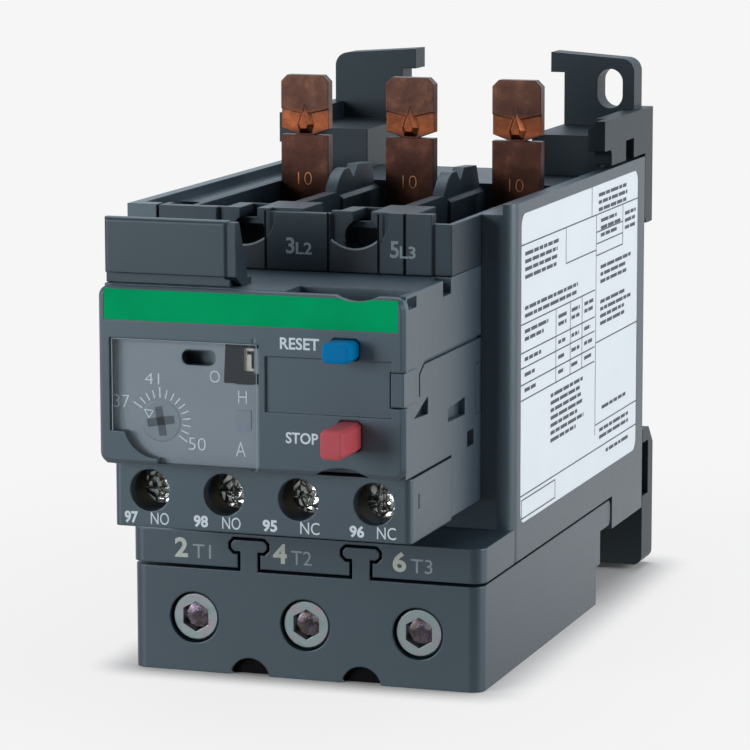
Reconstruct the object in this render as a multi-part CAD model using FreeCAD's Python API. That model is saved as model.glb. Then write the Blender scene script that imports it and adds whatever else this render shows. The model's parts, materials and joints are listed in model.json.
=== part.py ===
import FreeCAD, Part
import math
import os
from FreeCAD import Vector

os.makedirs("parts", exist_ok=True)

# Three-pole thermal overload relay that plugs in below a contactor.  Millimetres.
# X runs across the poles, Y from front to back, Z up.  Depths are counted from the front face of
# the terminal block, and save() moves them so that the finished relay is centred on the origin.

# Overall body
polePitch = 17.5
poleMargin = 1.25
sideWall = 5.0
wallFront = 14.7
housingBack = 90.5
deckRise = 47.1
ribRise = 1.5
ribWidth = 1.8
cornerRound = 2.5

# Terminal block
blockHeight = 15.7
blockDepth = 66.7
blockInset = 0.2
blockCorner = 2.0
blockSeam = 0.5
stripHeight = 5.1
latchReach = 4.4
latchHeight = 4.1
heelHeight = 6.2
heelDepth = 4.1
bayRoof = 1.5

# Power terminals
screwDrop = 7.5
headRadius = 3.7
headSink = 0.6
headLength = 5.9
shankRadius = 2.9
hexFlats = 4.0
hexDepth = 4.6
boreGap = 0.2
clampBayWidth = 13.4
clampBayFront = 7.5
clampBayDepth = 26.0
clampWidth = 12.4
clampHeight = 10.0
clampBar = 2.5
clampSide = 1.3
clampDepth = 17.5
busbarFront = 18.0
busbarThickness = 2.0
busbarWidth = 7.0
busbarRise = 1.0
keyStem = 2.7
keyHead = 5.6
keyHeadHeight = 1.7
keyRise = 3.0
keyDepth = 8.0
keyGap = 0.45
notchWidth = 6.3
notchHeight = 2.6
notchDepth = 6.0

# Housing interior
partitionThickness = 3.4
bayWall = 2.5
bayBack = 79.0
bayHeight = 26.7
skirtReach = 4.9
skirtGap = 0.4
labelSink = 0.2
labelFront = 18.7
labelEnd = 4.3
labelMargin = 5.3
labelDrop = 0.3
labelCorner = 2.0

# Pole shroud
shroudSeam = 7.4
shroudClear = 0.4
shroudWall = 0.9
faceRise = 1.4
sideBlockSink = 0.8
middleDrop = 0.4
panelSink = 0.5
panelWidth = 2.9
faceThickness = 2.0
chamberBack = 55.5
chamberStep = 2.0
notchLeft = 4.7
notchRight = 3.2
deckBack = 10.5
deckWidth = 6.9
deckThickness = 2.0
partitionFront = 10.0
finThickness = 1.8
finLeft = 0.65
finBack = 38.5
finDrop = 0.6
backWidth = 3.6
accessRadius = 2.6
accessDrop = 2.3
accessSlot = 2.7
accessBack = 7.0
lipDrop = 2.9
lipDip = 1.0
lipRadius = 4.3
saddleFront = 36.3
saddleBack = 55.0
saddleRise = 3.4
shoulderPocket = 2.5

# Contact blades
bladeFront = 49.5
bladeThickness = 2.0
bladeClear = 9.6
bladeRise = 16.9
bladeChamfer = 1.0
bladeNotchRise = 7.4
notchFlare = 1.0
bladeFold = 4.0
wingSink = 0.35
bossRadius = 1.6
bossLength = 6.4
bladeNeck = 2.4
bladeTail = 2.0
bladeFootWidth = 3.0

# Bimetals, heaters and slides
bimetalThickness = 1.0
bimetalWidth = 5.0
bimetalClear = 6.7
compensationWidth = 5.0
compensationFoot = 4.0
compensationThickness = 0.8
compensationFront = 5.2
compensationHeel = 0.5
heaterTurns = 5
heaterPitch = 2.3
heaterRibbon = 1.5
heaterThickness = 0.5
heaterGap = 0.6
heaterDrop = 1.7
slideThickness = 1.2
slideFront = 43.5
slideBack = 56.0
slideRise = 7.1
slideGap = 0.05
slideTravel = 1.2
slideInset = 1.9
runningGap = 0.3

# Trip lever and contact carrier
leverSeat = 1.2
leverFit = 0.05
leverInset = 2.3
leverY = 24.0
leverPin = 1.2
leverDrop = 2.0
leverArm = 17.5
leverNose = 18.0
slideFinger = 1.2
slideFingerGap = 0.1
leverThickness = 1.2
leverOpening = 7.6
leverSide = 3.2
carrierFront = 5.0
carrierDepth = 3.5
carrierRise = 5.0
carrierHeight = 4.0
contactGap = 1.3
contactThickness = 0.8
bridgeReach = 1.8
bridgeHeight = 2.0
bridgeLift = 1.0
notchHalf = 2.9
guideWidth = 2.4

# Trip module
moduleFront = -17.8
moduleSeam = 0.1
moduleWall = 1.6
moduleFootRise = 0.4
gapDepth = 3.1
gapHeight = 3.2
gapLeft = 4.8
slitHeight = 1.6
slitLength = 4.3
slitCap = 0.5
seamGroove = 0.5
seamDepth = 0.6
seamInset = 3.2
seamSlope = 2.4

# Auxiliary terminals
barFront = -18.2
barLift = 4.1
barHeight = 9.2
barSeam = 0.4
barSlit = 0.4
auxUp = 5.4
wellRadius = 3.05
auxHeadRadius = 2.6
auxHeadHeight = 1.9
auxHeadSink = 4.6
auxShank = 1.7
auxTravel = 2.4
auxClampThickness = 1.1
auxBayWidth = 7.4
barRoof = 0.8
leafGap = 0.4
auxPlateFront = -4.6
auxPlateThickness = 1.2
auxPlateWidth = 6.4

# Front cover
coverFront = -22.5
coverLift = 0.2
coverDrop = 0.1
coverOver = 0.45
coverWall = 1.6
coverRound = 1.6
rimGap = 0.1
rimWall = 0.9
dipCentre = 7.3
dipWidth = 6.2
dipHeight = 0.8
bandDrop = 0.4
bandHeight = 4.4
bandSink = 0.3
bandMargin = 1.0
recessInset = 1.95
recessWidth = 18.7
recessHeight = 7.9
recessDrop = 4.2
recessSink = 0.4
clipHeight = 5.1
clipDrop = 5.6
clipWidth = 2.3
fingerInset = 9.35
fingerWidth = 8.3
fingerHeight = 1.3

# Window cover and what lies under it
windowMargin = 1.95
windowWidth = 22.2
windowLift = 0.5
windowDrop = 2.8
windowThickness = 1.1
windowGap = 0.2
trayDepth = 1.5
hingePin = 0.4
hingeLength = 0.9
dialAcross = 7.0
dialUp = 5.8
dialRadius = 3.1
dialNotch = 5.0
dialShaft = 1.8
camOffset = 0.8
sealAcross = 10.3
sealWidth = 5.1
sealHeight = 2.2
sealDrop = 2.3
testAcross = 18.4
testWidth = 2.8
testOpening = 5.6
testDrop = 0.3
testHeight = 3.5
selectorAcross = 18.3
selectorWidth = 2.6
selectorOpening = 4.1
selectorUp = 4.1
selectorHeight = 2.6
fitGap = 0.15
sliderLip = 0.8

# Buttons
resetInset = 8.75
resetDrop = 2.7
resetWidth = 4.0
resetHeight = 2.8
resetProud = 4.3
stopInset = 8.1
stopUp = 5.95
stopWidth = 3.3
stopHeight = 4.1
stopProud = 8.0
flangeExtra = 0.9
flangeThickness = 1.0
flangeFront = -15.9
springWire = 0.35
springRadius = 1.3
springTurns = 5
springLength = 6.0
springSeat = 0.02
stubLength = 1.0
stubRadius = 0.9

# Locating flag
flagOver = 0.3
flagWidth = 18.8
flagFront = -20.3
flagHeight = 7.9
flagThickness = 1.5
flagLift = 1.5
gussetWidth = 1.2
gussetDepth = 5.2
footThickness = 1.0

# Rear carrier
plateGap = 0.3
plateThickness = 4.7
plateInset = 7.5
postFront = 70.0
postRise = 6.6
postInner = 14.0
armFront = 65.2
armSeam = 0.5
armHeight = 7.4
armThickness = 2.8
armChamfer = 1.4
armSlotFront = 78.2
armSlotBack = 83.3
armSlotHeight = 2.2
armTip = 4.3
shoulderDrop = 9.7
footStep = 2.1
footHeight = 23.1
footBottom = 0.8
footRound = 1.5
footPocket = 9.1
footPocketDepth = 6.0
footShelf = 2.2
lugStep = 2.1
lugThickness = 5.0
lugInset = 1.5
lugInner = 14.1
lugRise = 18.5
lugFall = 1.0
lugCorner = 2.2
hookReach = 2.3
hookHeight = 3.3
lugSlotInset = 5.6
lugSlotWidth = 4.3
lugSlotHeight = 6.5
lugSlotRise = 12.7

# Places that follow from the sizes above
bodyWidth = 3 * polePitch + 2 * poleMargin
halfBody = bodyWidth / 2
bladeWidth = polePitch - bladeClear
halfBay = halfBody - sideWall
housingBottom = blockHeight + blockSeam
stripTop = housingBottom + stripHeight
screwHeight = blockHeight - screwDrop
skirtBottom = blockHeight - skirtReach
skirtFront = blockDepth + latchReach + skirtGap
barBottom = stripTop + barLift
busbarFoot = stripTop + busbarRise
bimetalTip = stripTop + bimetalClear
slideBottom = stripTop + slideRise
bayCeiling = stripTop + bayHeight
chamberFloor = bayCeiling + chamberStep
bladeFoot = bayCeiling - bladeTail
heaterBottom = bladeFoot - heaterDrop - heaterRibbon - (heaterTurns - 1) * heaterPitch
leverTop = bayCeiling - leverDrop
shroudBack = bayBack - shroudClear
labelBottom = housingBottom + labelMargin
labelBack = housingBack - labelEnd
plateFront = housingBack + plateGap
plateBack = plateFront + plateThickness
footBack = plateBack + footStep
lugFront = plateFront - lugStep
deckTop = stripTop + deckRise
labelTop = deckTop - labelDrop
blockTop = deckTop + faceRise
accessHeight = deckTop - accessDrop
lipHeight = deckTop - lipDrop
shroudBottom = deckTop - shroudSeam
leverX = halfBay - leverInset
slideEnd = halfBay - slideInset
fingerEnd = leverX - leverThickness / 2 - runningGap
fingerStart = fingerEnd - slideFinger
auxPitch = (halfBay + rimGap) / 2
moduleFoot = barBottom + moduleFootRise
barTop = barBottom + barHeight
auxHeight = barBottom + auxUp
moduleBottom = barTop + barSeam
moduleTop = shroudBottom - moduleSeam
carrierBottom = moduleBottom + carrierRise
coverBottom = moduleBottom + coverLift
coverTop = moduleTop - coverDrop
coverBack = coverFront + coverWall
rimFront = coverBack + rimGap
coverHalf = halfBay + coverOver
bandBottom = coverTop - bandDrop - bandHeight
windowLeft = -coverHalf + windowMargin
windowRight = windowLeft + windowWidth
windowBottom = coverBottom + windowLift
windowTop = bandBottom - windowDrop
dialX = windowLeft + dialAcross
dialZ = windowBottom + dialUp
sealLeft = windowLeft + sealAcross
sealRight = sealLeft + sealWidth
sealCentre = windowTop - sealDrop
testLeft = windowLeft + testAcross
testRight = testLeft + testWidth
testTop = windowTop - testDrop
testBottom = testTop - testOpening
selectorLeft = windowLeft + selectorAcross
selectorRight = selectorLeft + selectorWidth
selectorBottom = windowBottom + selectorUp
selectorTop = selectorBottom + selectorOpening
resetX = coverHalf - resetInset
resetZ = bandBottom - resetDrop
stopX = coverHalf - stopInset
stopZ = coverBottom + stopUp
recessRight = coverHalf - recessInset
recessLeft = recessRight - recessWidth
recessTop = bandBottom - recessDrop
recessBottom = recessTop - recessHeight
clipTop = bandBottom - clipDrop
clipBottom = clipTop - clipHeight
fingerCentre = coverHalf - fingerInset
flagLeft = -halfBay - flagOver
flagRight = flagLeft + flagWidth
flagTop = moduleTop + flagLift + flagHeight
plateHalf = halfBody - plateInset
postTop = deckTop + postRise
armBottom = deckTop + ribRise + armSeam
armTop = armBottom + armHeight
shoulderBottom = deckTop - shoulderDrop
footTop = footBottom + footHeight
lugOuter = halfBody - lugInset
lugTop = deckTop + lugRise
lugSlotX = halfBody - lugSlotInset
lugSlotZ = deckTop + lugSlotRise
bladeTop = deckTop + bladeRise
bladeNotch = deckTop + bladeNotchRise
frontMost = coverFront - stopProud
centreShift = -(frontMost + footBack) / 2
poleCentres = [-polePitch, 0.0, polePitch]
partitionCentres = [-polePitch / 2, polePitch / 2]
auxCentres = [-1.5 * auxPitch, -0.5 * auxPitch, 0.5 * auxPitch, 1.5 * auxPitch]
bladeMiddle = bladeFront + bladeThickness / 2
trayFront = coverFront + trayDepth
trayBack = trayFront + coverWall
trayLeft = -halfBay + rimWall + rimGap
springBack = flangeFront + flangeThickness + springLength
hingeX = windowRight - windowThickness / 2
hingeY = coverFront + windowThickness / 2
screwTip = busbarFront - runningGap
slideSpacing = slideThickness + slideGap
slidesTop = slideBottom + slideSpacing + slideThickness
clampFront = busbarFront - clampBar - 1.0
auxBayBack = auxPlateFront + auxPlateThickness + auxTravel + 0.4
barBack = auxBayBack + 1.0


# --- basic forms

def box(x0, x1, y0, y1, z0, z1):
    return Part.makeBox(x1 - x0, y1 - y0, z1 - z0, Vector(x0, y0, z0))


def rodY(x, z, y0, y1, radius):
    return Part.makeCylinder(radius, y1 - y0, Vector(x, y0, z), Vector(0, 1, 0))


def rodZ(x, y, z0, z1, radius):
    return Part.makeCylinder(radius, z1 - z0, Vector(x, y, z0), Vector(0, 0, 1))


def outlineXZ(points, y0, y1):
    wire = Part.makePolygon([Vector(x, y0, z) for x, z in points + points[:1]])
    return Part.Face(wire).extrude(Vector(0, y1 - y0, 0))


def outlineYZ(points, x0, x1):
    wire = Part.makePolygon([Vector(x0, y, z) for y, z in points + points[:1]])
    return Part.Face(wire).extrude(Vector(x1 - x0, 0, 0))


def runsAlong(edge, axis):
    if edge.Curve.TypeId != "Part::GeomLine":
        return False
    return abs(edge.tangentAt(edge.FirstParameter).dot(axis)) > 0.999


def rounded(shape, radius, axis, keep=None):
    edges = []
    for edge in shape.Edges:
        if not runsAlong(edge, axis):
            continue
        if keep is None or keep(edge.CenterOfMass):
            edges.append(edge)
    return shape.makeFillet(radius, edges)


def bevelled(shape, size, axis):
    return shape.makeChamfer(size, [edge for edge in shape.Edges if runsAlong(edge, axis)])


def softBoxY(x0, x1, y0, y1, z0, z1, radius):
    return rounded(box(x0, x1, y0, y1, z0, z1), radius, Vector(0, 1, 0))


def mirrored(shape):
    return shape.mirror(Vector(0, 0, 0), Vector(1, 0, 0))


def obroundXZ(x0, x1, y0, y1, z0, z1):
    radius = min(x1 - x0, z1 - z0) / 2 * 0.999
    return softBoxY(x0, x1, y0, y1, z0, z1, radius)


def hexSocket(x, z, y0, y1, flats):
    corner = flats / math.sqrt(3)
    points = []
    for step in range(6):
        turn = math.radians(60 * step)
        points.append((x + corner * math.sin(turn), z + corner * math.cos(turn)))
    return outlineXZ(points, y0, y1)


def save(name, shape):
    placed = shape.copy()
    placed.translate(Vector(0, centreShift, 0))
    if not placed.isValid():
        print("not valid:", name)
    placed.exportStep("parts/" + name + ".step")
    print(name, len(placed.Solids), round(placed.Volume, 1))


# --- terminal block

def keyShape(centre, grow, depth):
    stem = box(centre - keyStem / 2 - grow, centre + keyStem / 2 + grow, 0, depth,
               blockHeight - 0.01, blockHeight + keyRise + 0.3)
    low = blockHeight + keyRise - grow
    head = box(centre - keyHead / 2 - grow, centre + keyHead / 2 + grow, 0, depth, low,
               low + keyHeadHeight + 2 * grow)
    return stem.fuse(bevelled(head, (keyHeadHeight / 2 + grow) * 0.6, Vector(0, 1, 0)))


def blockNotch(centre):
    radius = notchWidth / 2
    arch = rodY(centre, notchHeight - radius, 0, notchDepth, radius)
    return arch.common(box(centre - radius, centre + radius, 0, notchDepth, -radius, notchHeight))


def makeTerminalBlock():
    half = halfBody - blockInset
    body = box(-half, half, 0, blockDepth, 0, blockHeight)
    body = rounded(body, blockCorner, Vector(0, 0, 1))
    heel = box(-half - 1, half + 1, blockDepth - heelDepth, blockDepth + 1, -1, heelHeight)
    body = body.cut(heel)
    bayBackY = clampBayFront + clampBayDepth
    for centre in poleCentres:
        bay = box(centre - clampBayWidth / 2, centre + clampBayWidth / 2, clampBayFront, bayBackY,
                  -1, blockHeight - bayRoof)
        bore = rodY(centre, screwHeight, -1, clampBayFront + 1, headRadius + boreGap)
        slot = box(centre - busbarWidth / 2 - runningGap, centre + busbarWidth / 2 + runningGap,
                   busbarFront - runningGap, busbarFront + busbarThickness + runningGap,
                   blockHeight - 2, blockHeight + 1)
        body = body.cut(bay).cut(bore).cut(slot)
    for centre in partitionCentres:
        body = body.cut(blockNotch(centre)).fuse(keyShape(centre, 0, keyDepth))
    latch = box(half - 2.6, half, blockDepth - 3, blockDepth + latchReach,
                blockHeight - latchHeight, blockHeight)
    latch = bevelled(latch, 0.8, Vector(1, 0, 0))
    return body.fuse(latch).fuse(mirrored(latch)).removeSplitter()


def makePowerScrew(centre):
    back = headSink + headLength
    head = rodY(centre, screwHeight, headSink, back, headRadius)
    rim = [edge for edge in head.Edges if edge.BoundBox.YMax < headSink + 0.01]
    head = head.makeChamfer(0.3, rim)
    shank = rodY(centre, screwHeight, back - 0.1, screwTip, shankRadius)
    socket = hexSocket(centre, screwHeight, headSink - 1, headSink + hexDepth, hexFlats)
    return head.fuse(shank).cut(socket)


def makeWireClamp(centre):
    low = screwHeight - clampHeight / 2
    high = screwHeight + clampHeight / 2
    half = clampWidth / 2
    ring = box(centre - half, centre + half, clampFront, clampFront + clampDepth, low, high)
    ring = bevelled(ring, 1.0, Vector(0, 0, 1))
    hollow = box(centre - half + clampSide, centre + half - clampSide, clampFront + clampBar,
                 clampFront + clampDepth - clampBar, low - 1, high + 1)
    hole = rodY(centre, screwHeight, clampFront - 1, clampFront + clampBar + 1, shankRadius + 0.05)
    return ring.cut(hollow).cut(hole)


def makeBusbar(centre):
    back = busbarFront + busbarThickness
    footTopZ = busbarFoot + busbarThickness
    riser = slideFront - 1.5
    strap = heaterBottom + busbarThickness
    ring = bladeMiddle - bimetalWidth / 2 - heaterGap - heaterThickness
    points = [(busbarFront, 2.5), (back, 2.5), (back, busbarFoot), (riser, busbarFoot),
              (riser, heaterBottom), (ring, heaterBottom), (ring, strap), (riser - busbarThickness, strap),
              (riser - busbarThickness, footTopZ), (busbarFront, footTopZ)]
    bar = outlineYZ(points, centre - busbarWidth / 2, centre + busbarWidth / 2)
    trim = box(centre + fingerStart - slideFingerGap - polePitch, centre + busbarWidth,
               leverY - leverPin - runningGap, ring + 1, busbarFoot - 1, strap + 1)
    return bar.cut(trim)


# --- main housing and pole shroud

def makeMainHousing():
    strip = box(-halfBody, halfBody, 0, wallFront + 1, housingBottom, stripTop)
    strip = rounded(strip, blockCorner, Vector(0, 0, 1), lambda c: c.y < 1)
    tub = box(-halfBody, halfBody, wallFront, housingBack, housingBottom, deckTop + ribRise)
    tub = rounded(tub, cornerRound, Vector(0, 0, 1), lambda c: c.y < wallFront + 1)
    body = tub.fuse(strip)
    skirt = box(halfBody - 2.4, halfBody, skirtFront, housingBack, skirtBottom, housingBottom + 1)
    body = body.fuse(skirt).fuse(mirrored(skirt))
    shelf = box(-halfBody + ribWidth, halfBody - ribWidth, wallFront - 1, housingBack + 1,
                deckTop, deckTop + ribRise + 1)
    bay = box(-halfBay, halfBay, wallFront + bayWall, bayBack, stripTop, deckTop + 5)
    body = body.cut(shelf).cut(bay)
    mouth = box(-halfBay, halfBay, wallFront - 1, wallFront + bayWall + 1, shroudBottom, deckTop + 5)
    rearDip = box(-postInner, postInner, bayBack - 1, housingBack + 1, deckTop - 3.5, deckTop + 5)
    body = body.cut(mouth).cut(rearDip)
    shoulder = box(-halfBody, -halfBay - 0.4, 0, wallFront + cornerRound, shroudBottom,
                   deckTop + ribRise)
    pocket = box(-halfBody + ribWidth, -halfBay, shoulderPocket, wallFront + bayWall,
                 shroudBottom + 1, deckTop + ribRise + 1)
    body = body.fuse(shoulder).cut(pocket)
    for centre in partitionCentres:
        wall = box(centre - partitionThickness / 2, centre + partitionThickness / 2,
                   wallFront + bayWall - 0.5, bayBack + 0.5, stripTop - 0.5, bayCeiling)
        body = body.fuse(wall).cut(keyShape(centre, keyGap, keyDepth + keyGap))
    slides = box(-halfBay, halfBay, slideFront - slideGap, slideBack + slideGap,
                 slideBottom - slideGap, slidesTop + slideGap)
    body = body.cut(slides).cut(leverBearing(stripTop - leverSeat, stripTop + 1))
    for centre in poleCentres:
        slot = box(centre - busbarWidth / 2 - runningGap, centre + busbarWidth / 2 + runningGap,
                   busbarFront - runningGap, busbarFront + busbarThickness + runningGap,
                   housingBottom - 1, stripTop + 1)
        body = body.cut(slot)
    body = body.cut(leverWindow(wallFront - 1, wallFront + bayWall + 1))
    recess = labelShape(1.0)
    recess.translate(Vector(-labelSink, 0, 0))
    return body.cut(recess).removeSplitter()


def leverBearing(z0, z1):
    return rodZ(leverX, leverY, z0, z1, leverPin + leverFit)


def leverWindow(y0, y1):
    return box(leverX - leverSide, halfBay - 0.01, y0, y1, leverTop + 0.6 - leverOpening, leverTop + 0.6)


def labelShape(thickness):
    plate = box(halfBody, halfBody + thickness, labelFront, labelBack, labelBottom, labelTop)
    return rounded(plate, labelCorner, Vector(1, 0, 0))


def makeSideLabel():
    label = labelShape(labelSink)
    label.translate(Vector(-labelSink, 0, 0))
    return label


def saddle(centre):
    low = deckTop - finDrop - 0.3
    top = deckTop + saddleRise
    length = saddleBack - saddleFront
    rise = Part.Arc(Vector(0, saddleFront, deckTop + 0.4), Vector(0, saddleFront + 1.9, deckTop + 2.2),
                    Vector(0, saddleFront + 4.2, top - 0.2)).toShape()
    corners = [(saddleFront + 4.2, top - 0.2), (saddleFront + 6.3, top - 0.2),
               (saddleFront + length * 0.44, deckTop + 1.6), (saddleFront + length * 0.56, top),
               (saddleBack - 1.9, top - 0.3), (saddleBack, low), (saddleFront, low),
               (saddleFront, deckTop + 0.4)]
    outline = Part.makePolygon([Vector(0, y, z) for y, z in corners])
    wall = Part.Face(Part.Wire([rise] + outline.Edges)).extrude(Vector(finThickness, 0, 0))
    wall.translate(Vector(centre - finLeft, 0, 0))
    return wall


def accessHole(centre):
    slotTop = blockTop + 1
    hole = rodY(centre, accessHeight, -1, accessBack - 0.5, accessRadius)
    slot = box(centre - accessSlot / 2, centre + accessSlot / 2, -1, accessBack - 0.5,
               accessHeight, slotTop)
    notch = box(centre - notchLeft, centre + notchRight, -1, sideBlockSink, lipHeight, slotTop)
    dip = rodY(centre, lipHeight + lipRadius - lipDip, -1, sideBlockSink, lipRadius)
    return hole.fuse(slot).fuse(notch).fuse(dip)


def partition(centre):
    left = centre - finLeft
    fin = outlineYZ([(partitionFront, shroudBottom + 1), (wallFront + bayWall + 1, shroudBottom + 1),
                     (wallFront + bayWall + 1, chamberFloor - 0.5), (finBack, chamberFloor - 0.5),
                     (finBack, deckTop), (partitionFront, deckTop)], left, left + finThickness)
    back = box(centre - partitionThickness / 2, centre + partitionThickness / 2, finBack - 0.5,
               chamberBack + 0.5, chamberFloor - 0.5, deckTop - finDrop)
    crest = [edge for edge in back.Edges if runsAlong(edge, Vector(0, 1, 0))
             and edge.CenterOfMass.z > deckTop - 1]
    back = back.makeChamfer(0.6, crest)
    return fin.fuse(back).fuse(saddle(centre))


def makePoleShroud():
    top = blockTop
    side = halfBay - shroudWall
    seat = wallFront + bayWall
    face = box(-halfBay, halfBay, 0, faceThickness * 2, shroudBottom, top)
    outer = box(-halfBay, halfBay, 0, shroudBack, shroudBottom, deckTop)
    tank = box(-halfBay, halfBay, seat, shroudBack, bayCeiling, shroudBottom + 1)
    chamber = box(-side, side, seat + 2, chamberBack, chamberFloor, deckTop + 5)
    upper = box(-side, side, faceThickness, seat + 3, shroudBottom + 1.5, top + 5)
    body = face.fuse(outer).fuse(tank).cut(chamber).cut(upper)
    for centre in poleCentres:
        slot = box(centre - bladeWidth / 2 - fitGap, centre + bladeWidth / 2 + fitGap,
                   bladeFront - fitGap, bladeFront + bladeThickness + fitGap,
                   bayCeiling - 1, chamberFloor + 1)
        body = body.cut(slot)
    for centre in partitionCentres:
        block = box(centre - backWidth, centre + backWidth, faceThickness - 0.01, accessBack,
                    shroudBottom + 1, top)
        deck = box(centre + finThickness - finLeft, centre + finThickness - finLeft + deckWidth,
                   faceThickness, deckBack, top - deckThickness, top)
        body = body.fuse(block).fuse(deck).fuse(partition(centre)).cut(accessHole(centre))
        shelf = box(centre - accessRadius, centre + accessRadius, accessBack - 4.0, accessBack - 2.5,
                    accessHeight + 1.1, accessHeight + 2.0)
        body = body.fuse(shelf)
    return finishFace(body.cut(leverBearing(bayCeiling - 1, bayCeiling + leverSeat)))


def finishFace(body):
    middle = box(-polePitch / 2 + notchRight, polePitch / 2 - notchLeft, -1, faceThickness,
                 blockTop - middleDrop, blockTop + 1)
    step = box(halfBay - panelWidth, halfBay + 1, -1, accessBack, deckTop, blockTop + 1)
    panel = box(halfBay - panelWidth, halfBay + 1, -1, panelSink, shroudBottom - 1, deckTop + 1)
    split = box(polePitch - 2.2, polePitch - 1.8, -1, panelSink, shroudBottom - 1, blockTop + 1)
    return body.cut(middle).cut(step).cut(panel).cut(split).removeSplitter()


# --- current path

def makeBlade(centre):
    half = bladeWidth / 2
    neck = bladeNeck / 2
    foot = bladeFootWidth / 2
    flare = bladeNotch + notchFlare
    points = [(-half, chamberFloor + 2), (-half, bladeNotch), (-neck, bladeNotch), (-half, flare),
              (-half, bladeTop - bladeChamfer), (-half + bladeChamfer, bladeTop),
              (half - bladeChamfer, bladeTop), (half, bladeTop - bladeChamfer), (half, flare),
              (neck, bladeNotch), (half, bladeNotch), (half, chamberFloor + 2),
              (half, bayCeiling + 0.5), (foot, bayCeiling - 0.6), (foot, bladeFoot), (-foot, bladeFoot),
              (-foot, bayCeiling - 0.6), (-half, bayCeiling + 0.5)]
    blade = outlineXZ([(centre + x, z) for x, z in points], bladeFront, bladeFront + bladeThickness)
    fold = bladeNotch + bladeFold
    wings = outlineXZ([(centre - half - 1, bladeNotch), (centre - half - 1, fold + 0.4),
                       (centre, fold - 0.7), (centre + half + 1, fold + 0.4),
                       (centre + half + 1, bladeNotch)], bladeFront - 1, bladeFront + wingSink)
    return blade.cut(wings).fuse(bladeBoss(centre)).removeSplitter()


def bladeBoss(centre):
    outlines = []
    for grow, y in ((1.0, bladeFront + wingSink + 0.3), (0.45, bladeFront - 0.6)):
        half = bossRadius * grow
        low = bladeNotch + bossLength * (1 - grow) * 0.3
        tip = low + bossLength * grow
        points = [(-half * 0.7, low), (-half, low + half), (-half * 0.5, (low + tip) / 2 + half * 0.5),
                  (0, tip), (half * 0.5, (low + tip) / 2 + half * 0.5), (half, low + half),
                  (half * 0.7, low), (-half * 0.7, low)]
        outlines.append(Part.makePolygon([Vector(centre + x, y, z) for x, z in points]))
    return Part.makeLoft(outlines, True, True)


def makeBimetal(centre):
    half = bimetalThickness / 2
    return box(centre - half, centre + half, bladeMiddle - bimetalWidth / 2,
               bladeMiddle + bimetalWidth / 2, bimetalTip, bladeFoot)


def makeHeater(centre):
    inX = bimetalThickness / 2 + heaterGap
    inY = bimetalWidth / 2 + heaterGap
    outX = inX + heaterThickness
    outY = inY + heaterThickness
    winding = None
    for turn in range(heaterTurns):
        low = heaterBottom + 0.2 + turn * heaterPitch
        ring = box(centre - outX, centre + outX, bladeMiddle - outY, bladeMiddle + outY, low,
                   low + heaterRibbon)
        ring = bevelled(ring, heaterThickness, Vector(0, 0, 1))
        ring = ring.cut(box(centre - inX, centre + inX, bladeMiddle - inY, bladeMiddle + inY,
                            low - 1, low + heaterRibbon + 1))
        if turn == 0:
            winding = ring
            continue
        link = box(centre - outX, centre - inX, bladeMiddle - 0.8, bladeMiddle + 0.8,
                   low - heaterPitch, low)
        winding = winding.fuse(link).fuse(ring)
    return winding.removeSplitter()


# --- trip mechanism

def makeSlide(bottom, finger):
    top = bottom + slideThickness
    plate = box(-slideEnd, slideEnd - 1.2, slideFront, slideBack, bottom, top)
    for centre in poleCentres:
        reach = bimetalThickness / 2 + slideTravel + runningGap
        window = box(centre - reach, centre + reach, bladeMiddle - bimetalWidth / 2 - runningGap,
                     bladeMiddle + bimetalWidth / 2 + runningGap, bottom - 1, top + 1)
        plate = plate.cut(window)
    if finger:
        nose = box(fingerStart, fingerEnd, leverY + leverArm - 1.5, slideFront + 0.5, bottom, top)
        plate = plate.fuse(nose)
    return plate


def makeLever():
    pin = rodZ(leverX, leverY, stripTop - leverSeat + 0.1, bayCeiling + leverSeat - 0.1, leverPin)
    half = leverThickness / 2
    arm = box(leverX - half, leverX + half, leverY, leverY + leverArm, slideBottom - 0.9, slidesTop + 1.2)
    nose = box(leverX - half, leverX + half, leverY - leverNose, leverY, leverTop - 4.5, leverTop - 1)
    return pin.fuse(arm).fuse(nose)


def makeCarrier():
    left = auxCentres[0] - notchHalf + 1.4
    bar = box(left, fingerEnd, carrierFront, carrierFront + carrierDepth, carrierBottom,
              carrierBottom + carrierHeight)
    for centre in auxCentres:
        gap = box(centre - notchHalf, centre + notchHalf, carrierFront - 1, carrierFront + 2.2,
                  carrierBottom - 1, carrierBottom + carrierHeight + 1)
        bar = bar.cut(gap)
    return bar


def makeBridge(first, second, side):
    half = auxPlateThickness / 2
    reach = contactGap if side > 0 else 0.02
    low = carrierBottom + bridgeLift
    front = carrierFront - bridgeReach
    starts = []
    bridge = None
    for centre in (first, second):
        inner = centre + side * (half + reach)
        start = min(inner, inner + side * contactThickness)
        starts.append(start)
        finger = box(start, start + contactThickness, front - 0.01, carrierFront + 2.2, low,
                     low + bridgeHeight)
        bridge = finger if bridge is None else bridge.fuse(finger)
    spine = box(starts[0], starts[1] + contactThickness, front - contactThickness, front, low,
                low + bridgeHeight)
    return bridge.fuse(spine).removeSplitter()


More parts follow.
